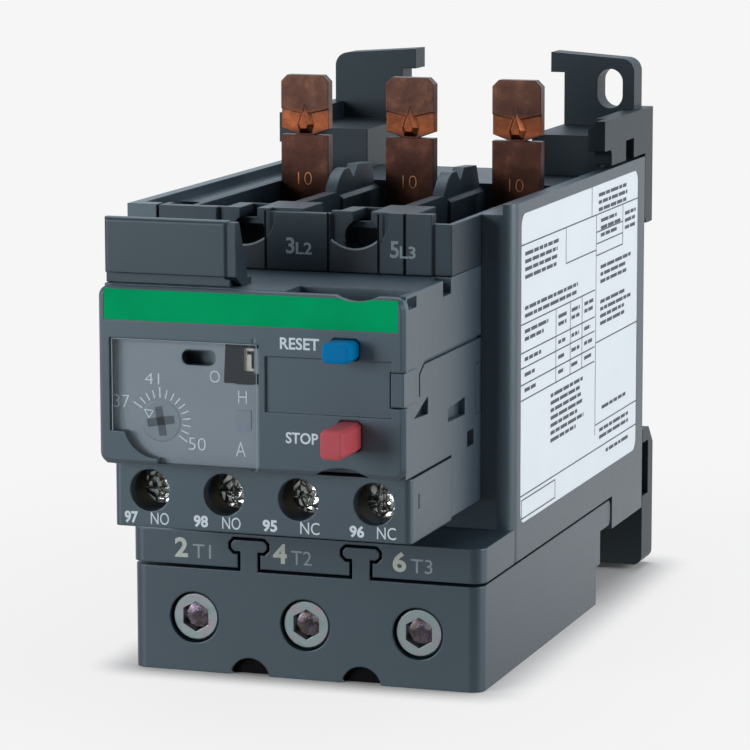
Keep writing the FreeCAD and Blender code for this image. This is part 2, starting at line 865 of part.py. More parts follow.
def makeAuxPlate(centre):
    half = auxPlateWidth / 2
    front = auxPlateFront
    back = front + auxPlateThickness
    tab = auxPlateThickness / 2
    top = barTop - barRoof - leafGap
    leaf = box(centre - half, centre + half, front, back, barBottom + 2 * leafGap, top)
    hole = rodY(centre, auxHeight, front - 1, back + 1, auxShank + 0.05)
    neck = box(centre - tab, centre + tab, front, back, top - 0.3, carrierBottom - 1.2)
    shelf = box(centre - tab, centre + tab, front, carrierFront + 1.6, carrierBottom - 2.4,
                carrierBottom - 1.2)
    tongue = box(centre - tab, centre + tab, carrierFront - 1.2, carrierFront + 1.6,
                 carrierBottom - 1.3, carrierBottom + 3.4)
    return leaf.cut(hole).fuse(neck).fuse(shelf).fuse(tongue).removeSplitter()


def makeCompensation():
    left = dialX - dialRadius
    back = carrierFront - compensationFoot
    low = dialZ - compensationWidth / 2
    front = moduleFront + moduleWall + compensationFront
    heel = back - compensationHeel
    half = compensationThickness / 2
    plate = box(left, left + compensationThickness, front, heel, low, low + compensationWidth)
    foot = box(left, left + compensationFoot, heel - half, heel + half, low, low + compensationWidth)
    return plate.fuse(foot)


# --- trip module and auxiliary terminals

def carrierGuide(centre):
    low = moduleBottom + moduleWall - 0.2
    guide = box(centre - guideWidth / 2, centre + guideWidth / 2, carrierFront - 1.0,
                carrierFront + carrierDepth + 1.0, low, carrierBottom + carrierHeight / 2)
    track = box(centre - guideWidth, centre + guideWidth, carrierFront - slideGap,
                carrierFront + carrierDepth + slideGap, carrierBottom - slideGap,
                carrierBottom + carrierHeight)
    return guide.cut(track)


def makeModuleCase():
    body = box(-halfBay, halfBay, moduleFront, wallFront, moduleBottom, moduleTop)
    lower = box(-halfBay, halfBay, barBack, wallFront, moduleFoot, moduleBottom + 1)
    body = body.fuse(lower)
    cavity = box(-halfBay + moduleWall, halfBay - moduleWall, moduleFront + moduleWall,
                 wallFront - moduleWall, moduleBottom + moduleWall, moduleTop - moduleWall)
    body = cutTopGap(body.cut(cavity).fuse(moduleRim()))
    crown = box(-halfBay - 1, halfBay + 1, -0.6, wallFront + 1, shroudBottom, moduleTop + 1)
    nick = box(halfBay - 2.4, halfBay + 1, -3.8, 0, moduleTop - 2.3, moduleTop + 1)
    body = body.cut(crown).cut(nick)
    for centre in auxCentres:
        opening = box(centre - auxPlateThickness, centre + auxPlateThickness, auxPlateFront - 0.4,
                      auxPlateFront + auxPlateThickness + 0.4, moduleBottom - 1, moduleBottom + 3)
        body = body.cut(opening)
    shelf = box(stopX - 4, halfBay - moduleWall + 0.2, springBack, springBack + 1.5, moduleBottom + 1,
                moduleTop - moduleWall - 0.4)
    body = body.fuse(shelf)
    for x, z in ((resetX, resetZ), (stopX, stopZ)):
        body = body.fuse(springPeg(x, z, springBack - stubLength, springBack + 0.5))
    back = moduleFront + moduleWall + 1
    body = body.cut(buttonHole(resetX, resetZ, resetWidth, resetHeight, moduleFront - 1, back))
    body = body.cut(buttonHole(stopX, stopZ, stopWidth, stopHeight, moduleFront - 1, back))
    body = body.cut(hexSocket(dialX, dialZ, moduleFront - 1, back, 2 * dialShaft + 4 * fitGap))
    body = body.cut(leverWindow(wallFront - moduleWall - 1, wallFront + 1))
    clip = box(halfBay - 1.7, halfBay + 0.2, coverFront + 0.3, moduleFront + 1, clipBottom + fitGap,
               clipTop - fitGap)
    body = body.fuse(clip)
    for centre in (-auxPitch, auxPitch):
        body = body.fuse(carrierGuide(centre))
    return cutSideMarks(body).removeSplitter()


def moduleRim():
    right = box(halfBay - rimWall, halfBay, rimFront, moduleFront + 0.1, moduleBottom, moduleTop)
    top = box(-halfBay, gapLeft, rimFront, moduleFront + 0.1, moduleTop - rimWall, moduleTop)
    return right.fuse(mirrored(right)).fuse(top)


def cutTopGap(body):
    back = moduleFront + gapDepth
    floor = moduleTop - gapHeight
    liner = box(gapLeft - moduleWall, halfBay, moduleFront, back + moduleWall, floor - moduleWall,
                moduleTop)
    gap = box(gapLeft, halfBay - rimWall, moduleFront - 1, back, floor, moduleTop + 1)
    slit = box(halfBay - rimWall - 0.1, halfBay + 1, rimFront + slitCap, rimFront + slitCap + slitLength,
               moduleTop - slitCap - slitHeight, moduleTop - slitCap)
    return body.fuse(liner).cut(gap).cut(slit)


def cutSideMarks(body):
    marks = [[(-10.7, 10.4), (-17.1, 8.1), (-10.7, 7.8)],
             [(-1.3, 6.9), (-1.3, 5.1), (6.9, 4.9), (6.9, 7.5)],
             [(7.9, 2.1), (7.9, -0.2), (11.4, -0.2), (11.4, 2.1)]]
    for points in marks:
        places = [(y, moduleBottom + z) for y, z in points]
        body = body.cut(outlineYZ(places, halfBay - 1.1, halfBay + 1))
    half = seamGroove / 2
    front = moduleFront + seamInset
    bend = front + seamSlope
    seam = [(wallFront + 1, clipTop + half), (bend - 0.1, clipTop + half), (front - half, clipTop - 1.3),
            (front - half, clipBottom + 0.5), (front + half, clipBottom + 0.5),
            (front + half, clipTop - 1.5), (bend + 0.1, clipTop - half), (wallFront + 1, clipTop - half)]
    return body.cut(outlineYZ(seam, halfBay - seamDepth, halfBay + 1))


def buttonHole(x, z, width, height, y0, y1):
    hole = box(x - width / 2 - fitGap, x + width / 2 + fitGap, y0, y1, z - height / 2 - fitGap,
               z + height / 2 + fitGap)
    return bevelled(hole, 0.5, Vector(0, 1, 0))


def makeTerminalBar():
    body = box(-halfBay, halfBay, barFront, barBack, barBottom, barTop)
    body = rounded(body, 1.0, Vector(0, 0, 1), lambda c: c.y < barFront + 0.1)
    wall = 1.8
    for centre in auxCentres:
        half = auxBayWidth / 2
        bay = box(centre - half, centre + half, barFront + wall, auxBayBack, barBottom - 1,
                  barTop - barRoof)
        well = rodY(centre, auxHeight, barFront - 1, barFront + wall + 1, wellRadius)
        tab = box(centre - auxPlateThickness, centre + auxPlateThickness, auxPlateFront - 0.4,
                  auxPlateFront + auxPlateThickness + 0.4, barTop - barRoof - 1, barTop + 1)
        body = body.cut(bay).cut(well).cut(tab)
    slit = box(halfBay - seamDepth, halfBay + 1, barFront + 3.2, barFront + 3.2 + barSlit,
               barBottom + 4.5, barTop - 2.6)
    return body.cut(slit).removeSplitter()


def makeAuxScrew(centre):
    front = barFront + auxHeadSink
    head = rodY(centre, auxHeight, front, front + auxHeadHeight, auxHeadRadius)
    shank = rodY(centre, auxHeight, front + auxHeadHeight - 0.1, auxPlateFront + auxPlateThickness + 0.2,
                 auxShank)
    screw = head.fuse(shank)
    slot = box(centre - auxHeadRadius - 1, centre + auxHeadRadius + 1, front - 1, front + 0.9,
               auxHeight - 0.4, auxHeight + 0.4)
    cross = box(centre - 0.45, centre + 0.45, front - 1, front + 1.3, auxHeight - 1.7, auxHeight + 1.7)
    return screw.cut(slot).cut(cross)


def makeAuxClamp(centre):
    front = barFront + auxHeadSink + auxHeadHeight
    half = auxPlateWidth / 2
    plate = box(centre - half, centre + half, front, front + auxClampThickness, auxHeight - 2.1,
                auxHeight + 2.1)
    plate = bevelled(plate, 0.6, Vector(0, 1, 0))
    return plate.cut(rodY(centre, auxHeight, front - 1, front + 3, auxShank + 0.05))


# --- front cover

def makeFrontCover():
    body = box(-coverHalf, coverHalf, coverFront, coverBack, coverBottom, coverTop)
    body = rounded(body, coverRound, Vector(0, 1, 0))
    body = body.makeChamfer(0.6, [edge for edge in body.Edges if edge.BoundBox.YMax < coverFront + 0.01])
    tray = box(trayLeft, windowRight + 1.6, coverBack - 0.2, trayBack, coverBottom + 0.3,
               windowTop + 1.6)
    body = body.fuse(tray)
    body = body.cut(windowShape(windowGap, coverFront - 1, trayFront))
    pinHole = rodZ(hingeX, hingeY, windowBottom - hingeLength + 0.3, windowTop + hingeLength + 0.1,
                   hingePin + 0.1)
    body = body.cut(pinHole).cut(sealSlot(trayFront - 1, trayBack + 1))
    body = body.cut(rodY(dialX, dialZ, trayFront - 1, trayBack + 1, dialRadius + 0.25))
    for left, right, low, high in ((testLeft, testRight, testBottom, testTop),
                                   (selectorLeft, selectorRight, selectorBottom, selectorTop)):
        body = body.cut(box(left, right, trayFront - 1, trayBack + 1, low, high))
    plate = box(recessLeft, recessRight, coverFront - 1, coverFront + recessSink, recessBottom, recessTop)
    clip = box(coverHalf - clipWidth, coverHalf + 1, coverFront - 1, coverBack + 1, clipBottom, clipTop)
    finger = arcCut(fingerCentre, coverBottom, fingerWidth, fingerHeight, -1)
    body = body.cut(bandBlank(coverFront - 1)).cut(topDip()).cut(plate).cut(clip).cut(finger)
    body = body.cut(buttonHole(resetX, resetZ, resetWidth, resetHeight, coverFront - 1, coverBack))
    body = body.cut(buttonHole(stopX, stopZ, stopWidth, stopHeight, coverFront - 1, coverBack))
    return body.removeSplitter()


def arcCut(x, edge, width, depth, side):
    radius = width ** 2 / (8 * depth) + depth / 2
    return rodY(x, edge + side * (radius - depth), coverFront - 1, coverBack + 1, radius)


def topDip():
    return arcCut(coverHalf - dipCentre, coverTop, dipWidth, dipHeight, 1)


def bandBlank(front):
    half = coverHalf - bandMargin
    return box(-half, half, front, coverFront + bandSink, bandBottom, bandBottom + bandHeight)


def makeBand():
    return bandBlank(coverFront).cut(topDip())


def sealSlot(y0, y1):
    return obroundXZ(sealLeft, sealRight, y0, y1, sealCentre - sealHeight / 2, sealCentre + sealHeight / 2)


def windowShape(grow, y0, y1):
    plate = box(windowLeft - grow, windowRight + grow, y0, y1, windowBottom - grow, windowTop + grow)
    corner = box(windowLeft - 1, dialX, y0 - 1, y1 + 1, windowBottom - 1, dialZ - 1.3 - grow)
    notch = rodY(dialX, dialZ, y0 - 1, y1 + 1, dialNotch + grow)
    return plate.cut(corner.cut(notch))


def makeWindow():
    back = coverFront + windowThickness
    plate = windowShape(0, coverFront, back)
    ends = [edge for edge in plate.Edges if runsAlong(edge, Vector(0, 0, 1))
            and edge.CenterOfMass.x > windowRight - 0.01]
    plate = plate.makeChamfer(windowThickness * 0.3, ends)
    plate = plate.cut(sealSlot(coverFront - 1, back + 1))
    low = rodZ(hingeX, hingeY, windowBottom - hingeLength + 0.5, windowBottom + 0.5, hingePin)
    high = rodZ(hingeX, hingeY, windowTop - 0.5, windowTop + hingeLength - 0.1, hingePin)
    return plate.fuse(low).fuse(high)


def makeDial():
    front = trayFront - 0.1
    camFront = moduleFront + moduleWall + 0.5
    knob = rodY(dialX, dialZ, front, trayBack + 1.3, dialRadius)
    shaft = rodY(dialX, dialZ, trayBack + 1, camFront + 2.5, dialShaft)
    cam = hexSocket(dialX - camOffset, dialZ, camFront, camFront + 2.5, 2 * dialShaft)
    dial = knob.fuse(shaft).fuse(cam)
    across = box(dialX - 1.9, dialX + 1.9, front - 1, front + 0.9, dialZ - 0.4, dialZ + 0.4)
    down = box(dialX - 0.4, dialX + 0.4, front - 1, front + 0.9, dialZ - 1.9, dialZ + 1.9)
    turned = across.fuse(down)
    turned.rotate(Vector(dialX, 0, dialZ), Vector(0, 1, 0), 20)
    return dial.cut(turned)


def makeButton(x, z, width, height, proud):
    front = coverFront - proud
    stem = box(x - width / 2, x + width / 2, front, flangeFront + 0.2, z - height / 2, z + height / 2)
    stem = bevelled(stem, 0.5, Vector(0, 1, 0))
    rim = [edge for edge in stem.Edges if abs(edge.BoundBox.YMax - front) < 0.001]
    stem = stem.makeChamfer(0.3, rim)
    back = flangeFront + flangeThickness
    flange = box(x - width / 2 - flangeExtra, x + width / 2 + flangeExtra, flangeFront, back,
                 z - height / 2 - flangeExtra, z + height / 2 + flangeExtra)
    return stem.fuse(flange).fuse(springPeg(x, z, back - 0.1, back + stubLength))


def springPeg(x, z, y0, y1):
    across = box(x - stubRadius, x + stubRadius, y0, y1, z - 0.35, z + 0.35)
    upright = box(x - 0.35, x + 0.35, y0, y1, z - stubRadius, z + stubRadius)
    return across.fuse(upright)


def makeSpring(x, z):
    start = flangeFront + flangeThickness + springSeat
    length = springLength - 2 * springSeat - springWire
    stations = springTurns * 8
    half = springWire / 2
    rings = []
    for step in range(stations + 1):
        turn = 2 * math.pi * springTurns * step / stations
        y = start + length * step / stations
        ring = []
        for radius, shift in ((-half, 0), (-half, springWire), (half, springWire), (half, 0)):
            reach = springRadius + radius
            ring.append(Vector(x + reach * math.cos(turn), y + shift, z + reach * math.sin(turn)))
        rings.append(ring)
    faces = [flatFace(rings[0]), flatFace(rings[-1][::-1])]
    for near, far in zip(rings, rings[1:]):
        for side in range(4):
            after = (side + 1) % 4
            faces.append(flatFace([near[side], near[after], far[after]]))
            faces.append(flatFace([near[side], far[after], far[side]]))
    return Part.makeSolid(Part.makeShell(faces))


def flatFace(points):
    return Part.Face(Part.makePolygon(points + points[:1]))


def makeSlider(left, right, top, height, front):
    knob = box(left + fitGap, right - fitGap, front, moduleFront - slideGap, top - fitGap - height,
               top - fitGap)
    tongue = box(left - sliderLip, right + sliderLip, trayBack + slideGap, moduleFront - slideGap,
                 top - height - sliderLip, top + sliderLip)
    return knob.fuse(tongue)


def makeTestSlider():
    return makeSlider(testLeft, testRight, testTop, testHeight, trayFront + 0.3)


def makeSelector():
    return makeSlider(selectorLeft, selectorRight, selectorTop, selectorHeight, trayFront - 0.1)


# --- locating flag and rear carrier

def makeFlag():
    low = moduleTop + flagLift
    back = flagFront + flagThickness
    plate = box(flagLeft, flagRight, flagFront, back, low, flagTop)
    soft = [edge for edge in plate.Edges if edge.CenterOfMass.y < flagFront + 0.1
            and edge.CenterOfMass.z > low + 0.1]
    plate = plate.makeFillet(0.6, soft)
    foot = flagFront + gussetDepth
    heel = moduleFront + 0.1
    right = outlineYZ([(flagFront + 0.2, flagTop - 0.2), (back, flagTop - 0.2), (foot, moduleTop),
                       (heel, moduleTop), (flagFront + 0.2, low)], flagRight - 0.7, flagRight + gussetWidth)
    left = outlineYZ([(back - 0.2, flagTop - 0.8), (foot, moduleTop), (heel, moduleTop),
                      (back - 0.2, low)], flagLeft, flagLeft + gussetWidth)
    toe = box(flagLeft, flagRight + gussetWidth, heel, foot + 1.0, moduleTop, moduleTop + footThickness)
    web = box(flagLeft, flagRight, flagFront + 0.9, heel + 0.1, moduleTop, low + 1.0)
    return plate.fuse(right).fuse(left).fuse(web).fuse(toe).removeSplitter()


def lugShape():
    fall = (lugOuter - lugInner) * lugFall / 12
    points = [(lugInner, postTop - 1), (lugOuter, postTop - 1), (lugOuter, lugTop - fall),
              (lugInner - hookReach, lugTop), (lugInner - hookReach, lugTop - hookHeight),
              (lugInner, lugTop - hookHeight)]
    lug = outlineXZ(points, lugFront, lugFront + lugThickness)
    return rounded(lug, lugCorner, Vector(0, 1, 0), lambda c: c.x > lugOuter - 0.1 and c.z > postTop)


def carrierSide():
    post = box(postInner, halfBody - ribWidth - 0.2, postFront, plateBack, deckTop, postTop)
    inner = halfBody - armThickness
    arm = box(inner, halfBody, armFront, plateBack, armBottom, armTop)
    bevel = outlineXZ([(inner - 1, armTop + 1), (inner - 1, armTop - armChamfer - 1),
                       (inner + armChamfer + 1, armTop + 1)], armFront - 1, postFront)
    tip = armFront + armTip
    hollow = box(inner - 1, halfBody + 1, armFront - 1, tip, armBottom - 1, armBottom + 2.6)
    hollow = rounded(hollow, 1.2, Vector(1, 0, 0), lambda c: c.y > tip - 0.1 and c.z > armBottom)
    slot = box(halfBody - 1.6, halfBody + 1, armSlotFront, armSlotBack, armBottom - 1,
               armBottom + 1 + armSlotHeight)
    front = housingBack + 0.2
    neck = outlineYZ([(front, shoulderBottom + 1.2), (front + 1.2, shoulderBottom),
                      (plateBack, shoulderBottom), (plateBack, armBottom + 1), (front, armBottom + 1)],
                     inner, halfBody)
    return post.fuse(arm.cut(bevel)).cut(hollow).cut(slot).fuse(neck).fuse(lugShape())


def makeCarrierBack():
    middle = box(-plateHalf, plateHalf, plateFront, plateBack, footBottom + 1, shoulderBottom + 1)
    upper = outlineYZ([(plateFront, shoulderBottom + 1.2), (plateFront + 1.2, shoulderBottom),
                       (plateBack, shoulderBottom), (plateBack, deckTop - 4), (plateFront, deckTop - 4)],
                      -halfBody, halfBody)
    foot = box(-halfBody, halfBody, plateFront, footBack, footBottom, footTop)
    foot = rounded(foot, footRound, Vector(0, 1, 0), lambda c: c.z < footTop - 1)
    slope = outlineYZ([(footBack + 1, footTop - 4.0), (footBack - 3.0, footTop + 0.2),
                       (footBack + 1, footTop + 0.2)], -halfBody - 1, halfBody + 1)
    pocket = box(halfBody - footPocketDepth, halfBody + 1, plateFront - 1, plateFront + 3.8,
                 footTop - footShelf - footPocket, footTop - footShelf)
    foot = foot.cut(slope).cut(pocket).cut(mirrored(pocket))
    return middle.fuse(upper).fuse(foot)


def makeRearCarrier():
    right = carrierSide()
    left = mirrored(right)
    slot = obroundXZ(lugSlotX - lugSlotWidth / 2, lugSlotX + lugSlotWidth / 2, lugFront - 1,
                     lugFront + lugThickness + 1, lugSlotZ - lugSlotHeight / 2,
                     lugSlotZ + lugSlotHeight / 2)
    body = makeCarrierBack().fuse(right.cut(slot)).fuse(left)
    return body.removeSplitter()


# --- export

save("main_housing", makeMainHousing())
save("pole_shroud", makePoleShroud())
save("terminal_block", makeTerminalBlock())
save("rear_carrier", makeRearCarrier())
save("trip_module_case", makeModuleCase())
save("aux_terminal_bar", makeTerminalBar())
save("front_cover", makeFrontCover())
save("cover_band", makeBand())
save("locating_flag", makeFlag())
save("side_label", makeSideLabel())
save("window_cover", makeWindow())
save("setting_dial", makeDial())
save("reset_button", makeButton(resetX, resetZ, resetWidth, resetHeight, resetProud))
save("stop_button", makeButton(stopX, stopZ, stopWidth, stopHeight, stopProud))
save("reset_spring", makeSpring(resetX, resetZ))
save("stop_spring", makeSpring(stopX, stopZ))
save("test_slider", makeTestSlider())
save("mode_selector", makeSelector())
save("trip_slide", makeSlide(slideBottom, True))
save("differential_slide", makeSlide(slideBottom + slideSpacing, False))
save("trip_lever", makeLever())
save("contact_carrier", makeCarrier())
save("no_bridge", makeBridge(auxCentres[0], auxCentres[1], 1))
save("nc_bridge", makeBridge(auxCentres[2], auxCentres[3], -1))
save("compensation_strip", makeCompensation())

for number, centre in enumerate(poleCentres, 1):
    save("contact_blade_%d" % number, makeBlade(centre))
    save("bimetal_strip_%d" % number, makeBimetal(centre))
    save("heater_winding_%d" % number, makeHeater(centre))
    save("load_busbar_%d" % number, makeBusbar(centre))
    save("power_screw_%d" % number, makePowerScrew(centre))
    save("wire_clamp_%d" % number, makeWireClamp(centre))

for number, centre in enumerate(auxCentres, 1):
    save("aux_terminal_plate_%d" % number, makeAuxPlate(centre))
    save("aux_screw_%d" % number, makeAuxScrew(centre))
    save("aux_clamp_%d" % number, makeAuxClamp(centre))

print("front to origin shift", centreShift)
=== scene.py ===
import json
import math
import random
import bpy
import bmesh
from mathutils import Matrix, Vector


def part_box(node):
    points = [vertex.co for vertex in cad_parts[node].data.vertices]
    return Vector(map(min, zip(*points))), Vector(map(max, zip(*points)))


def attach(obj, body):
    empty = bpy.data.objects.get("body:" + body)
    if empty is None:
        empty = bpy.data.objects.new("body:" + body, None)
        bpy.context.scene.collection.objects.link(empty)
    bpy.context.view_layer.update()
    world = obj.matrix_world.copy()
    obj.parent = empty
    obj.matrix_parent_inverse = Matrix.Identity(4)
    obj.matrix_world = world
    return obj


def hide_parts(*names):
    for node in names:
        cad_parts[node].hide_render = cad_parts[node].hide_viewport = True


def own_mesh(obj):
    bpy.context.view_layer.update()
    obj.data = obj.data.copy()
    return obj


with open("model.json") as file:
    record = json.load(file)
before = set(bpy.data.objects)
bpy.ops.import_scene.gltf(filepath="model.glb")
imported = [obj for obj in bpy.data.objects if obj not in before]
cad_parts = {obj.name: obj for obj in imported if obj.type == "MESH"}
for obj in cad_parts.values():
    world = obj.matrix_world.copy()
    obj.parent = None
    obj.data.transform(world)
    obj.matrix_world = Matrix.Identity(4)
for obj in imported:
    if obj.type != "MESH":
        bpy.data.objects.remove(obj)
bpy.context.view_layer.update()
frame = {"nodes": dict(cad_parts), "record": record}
nodes = frame["nodes"]
behaviour = frame["record"]["behaviour"]
bodyOf = {node: body for body, held in behaviour["bodies"].items() for node in held}
mm = 0.001
print("frame loaded:", len(nodes), "nodes")


# materials: each finish is a short function, patterns in object coordinates

def startMaterial(name):
    material = bpy.data.materials.new(name)
    material.use_nodes = True
    tree = material.node_tree
    return material, tree, tree.nodes["Principled BSDF"]


def addNoise(tree, scale, detail=3.0, roughness=0.5, stretch=(1, 1, 1)):
    place = tree.nodes.new("ShaderNodeTexCoord")
    mapping = tree.nodes.new("ShaderNodeMapping")
    mapping.inputs["Scale"].default_value = stretch
    noise = tree.nodes.new("ShaderNodeTexNoise")
    noise.inputs["Scale"].default_value = scale
    noise.inputs["Detail"].default_value = detail
    noise.inputs["Roughness"].default_value = roughness
    tree.links.new(place.outputs["Object"], mapping.inputs["Vector"])
    tree.links.new(mapping.outputs["Vector"], noise.inputs["Vector"])
    return noise.outputs["Fac"]


def addRamp(tree, source, stops):
    ramp = tree.nodes.new("ShaderNodeValToRGB")
    keys = ramp.color_ramp.elements
    while len(keys) < len(stops):
        keys.new(0.5)
    for key, (position, colour) in zip(keys, stops):
        key.position = position
        key.color = (*colour, 1)
    tree.links.new(source, ramp.inputs["Fac"])
    return ramp.outputs["Color"]


def addRange(tree, source, low, high):
    spread = tree.nodes.new("ShaderNodeMapRange")
    spread.inputs["To Min"].default_value = low
    spread.inputs["To Max"].default_value = high
    tree.links.new(source, spread.inputs["Value"])
    return spread.outputs["Result"]


# a value that runs from first to last as one coordinate goes from start to stop
def addSlope(tree, space, axis, start, stop, first=0.0, last=1.0):
    place = tree.nodes.new("ShaderNodeTexCoord")
    split = tree.nodes.new("ShaderNodeSeparateXYZ")
    tree.links.new(place.outputs[space], split.inputs["Vector"])
    slope = tree.nodes.new("ShaderNodeMapRange")
    for key, value in (("From Min", start), ("From Max", stop), ("To Min", first), ("To Max", last)):
        slope.inputs[key].default_value = value
    tree.links.new(split.outputs[axis], slope.inputs["Value"])
    return slope.outputs["Result"]


def addBump(tree, shader, heights, edge=0.0):
    normal = None
    if edge:
        soft = tree.nodes.new("ShaderNodeBevel")    # rounds the shading of moulded edges
        soft.samples = 6
        soft.inputs["Radius"].default_value = edge
        normal = soft.outputs["Normal"]
    for source, depth, strength in heights:
        bump = tree.nodes.new("ShaderNodeBump")
        bump.inputs["Distance"].default_value = depth
        bump.inputs["Strength"].default_value = strength
        tree.links.new(source, bump.inputs["Height"])
        if normal is not None:
            tree.links.new(normal, bump.inputs["Normal"])
        normal = bump.outputs["Normal"]
    tree.links.new(normal, shader.inputs["Normal"])


def shade(colour, factor):
    return tuple(min(1.0, part * factor) for part in colour)


# moulded plastic: mottled colour, fine grain, faint scuffs and a cool shine
plastic = {"cloud": 90, "fine": 5200, "scuff": 700, "smoother": 0.07, "rougher": 0.1,
           "shine": (0.80, 0.93, 1.0, 1)}


def mouldedPlastic(name, colour, rough=0.5, grain=0.000009, edge=0.00025, specular=1.0, mottle=0.1):
    material, tree, shader = startMaterial(name)
    cloud = addNoise(tree, plastic["cloud"], 4, 0.6)
    fine = addNoise(tree, plastic["fine"], 2, 0.6)
    scuff = addNoise(tree, plastic["scuff"], 5, 0.7, (1, 1, 6))
    tone = addRamp(tree, cloud, [(0.3, shade(colour, 1 - mottle)), (0.7, shade(colour, 1 + mottle))])
    tree.links.new(tone, shader.inputs["Base Color"])
    wear = addRange(tree, scuff, rough - plastic["smoother"], rough + plastic["rougher"])
    tree.links.new(wear, shader.inputs["Roughness"])
    shader.inputs["Specular IOR Level"].default_value = specular
    shader.inputs["Specular Tint"].default_value = plastic["shine"]
    addBump(tree, shader, [(fine, grain, 0.6), (scuff, grain, 0.25)], edge)
    return material


# the blades' colour from foot to head, partly painted light: a dark brown foot deepened as painted shade, a
# warm glow beside the boss that is a painted glint, and a paler head painted as lit; the patches are random
# tarnish
blade = {
    "foot": 0.058, "head": 0.0855,
    "lightAndShadeBands": [(0.0, (0.028, 0.012, 0.009)), (0.40, (0.055, 0.023, 0.016)), (0.66, (0.085, 0.036, 0.026)),
              (0.69, (0.26, 0.075, 0.028)), (0.775, (0.21, 0.065, 0.030)), (0.80, (0.09, 0.042, 0.030)),
              (1.0, (0.115, 0.055, 0.038))],
    "patches": [(0.32, (0.55, 0.55, 0.6)), (0.52, (0.9, 0.85, 0.85)), (0.70, (1.6, 1.5, 1.3))],
}


def copperBlade(name):
    material, tree, shader = startMaterial(name)
    stain = addNoise(tree, 260, 6, 0.7)
    streak = addNoise(tree, 900, 5, 0.7, (1, 1, 0.25))
    # these bands paint light and shade by height: shaded foot, glint band, lit head
    lightAndShadeBands = addRamp(tree, addSlope(tree, "Object", "Z", blade["foot"], blade["head"]), blade["lightAndShadeBands"])
    patches = addRamp(tree, stain, blade["patches"])
    mix = tree.nodes.new("ShaderNodeMix")
    mix.data_type = "RGBA"
    mix.blend_type = "MULTIPLY"
    mix.inputs["Factor"].default_value = 1.0
    tree.links.new(lightAndShadeBands, mix.inputs["A"])
    tree.links.new(patches, mix.inputs["B"])
    tree.links.new(mix.outputs["Result"], shader.inputs["Base Color"])
    shader.inputs["Metallic"].default_value = 0.95
    tree.links.new(addRange(tree, streak, 0.28, 0.5), shader.inputs["Roughness"])
    addBump(tree, shader, [(stain, 0.00008, 0.5), (streak, 0.00003, 0.4)], 0.0002)
    return material


def platedMetal(name, colour, rough=0.3, tint=None, edge=0.0001):
    material, tree, shader = startMaterial(name)
    film = addNoise(tree, 420, 3, 0.5)
    scratch = addNoise(tree, 2600, 4, 0.7, (1, 0.2, 1))
    other = tint or shade(colour, 0.85)
    tone = addRamp(tree, film, [(0.35, shade(colour, 0.9)), (0.5, colour), (0.65, other)])
    tree.links.new(tone, shader.inputs["Base Color"])
    shader.inputs["Metallic"].default_value = 1.0
    tree.links.new(addRange(tree, scratch, rough - 0.08, rough + 0.12), shader.inputs["Roughness"])
    addBump(tree, shader, [(scratch, 0.00001, 0.5)], edge)
    return material


# a thin smoked cover: a pale haze over whatever lies behind it, clear enough to read through
def clearCover(name):
    material, tree, shader = startMaterial(name)
    haze = addNoise(tree, 300, 3, 0.6)
    tone = addRamp(tree, haze, [(0.3, (0.47, 0.51, 0.54)), (0.7, (0.50, 0.54, 0.57))])
    tree.links.new(tone, shader.inputs["Base Color"])
    tree.links.new(addRange(tree, haze, 0.22, 0.32), shader.inputs["Roughness"])
    shader.inputs["Alpha"].default_value = 0.045
    shader.inputs["IOR"].default_value = 1.45
    addBump(tree, shader, [(haze, 0.000004, 0.2)])
    return material


# screw heads pressed from plated steel: bright facets between creases darkened with painted shade
def pressedHead(name, colour):
    material, tree, shader = startMaterial(name)
    facets = tree.nodes.new("ShaderNodeTexVoronoi")
    facets.feature = "DISTANCE_TO_EDGE"
    facets.inputs["Scale"].default_value = 700
    place = tree.nodes.new("ShaderNodeTexCoord")
    tree.links.new(place.outputs["Object"], facets.inputs["Vector"])
    grime = addNoise(tree, 1500, 4, 0.7)
    # the near-black stop at the facet edges is painted shade in the creases
    creaseShade = [(0.0, (0.04, 0.04, 0.03)), (0.05, shade(colour, 0.5)), (0.14, colour)]
    tone = addRamp(tree, facets.outputs["Distance"], creaseShade)
    tree.links.new(tone, shader.inputs["Base Color"])
    shader.inputs["Metallic"].default_value = 1.0
    tree.links.new(addRange(tree, grime, 0.12, 0.3), shader.inputs["Roughness"])
    addBump(tree, shader, [(facets.outputs["Distance"], 0.0004, 0.8), (grime, 0.0001, 0.5)], 0.00015)
    return material


# printed or pressed marks, slightly worn
def printInk(name, colour, specular=0.5):
    material, tree, shader = startMaterial(name)
    worn = addNoise(tree, 2500, 4, 0.7)
    tone = addRamp(tree, worn, [(0.3, shade(colour, 0.82)), (0.6, colour)])
    tree.links.new(tone, shader.inputs["Base Color"])
    tree.links.new(addRange(tree, worn, 0.45, 0.65), shader.inputs["Roughness"])
    shader.inputs["Specular IOR Level"].default_value = specular
    addBump(tree, shader, [(worn, 0.000005, 0.4)])
    return material


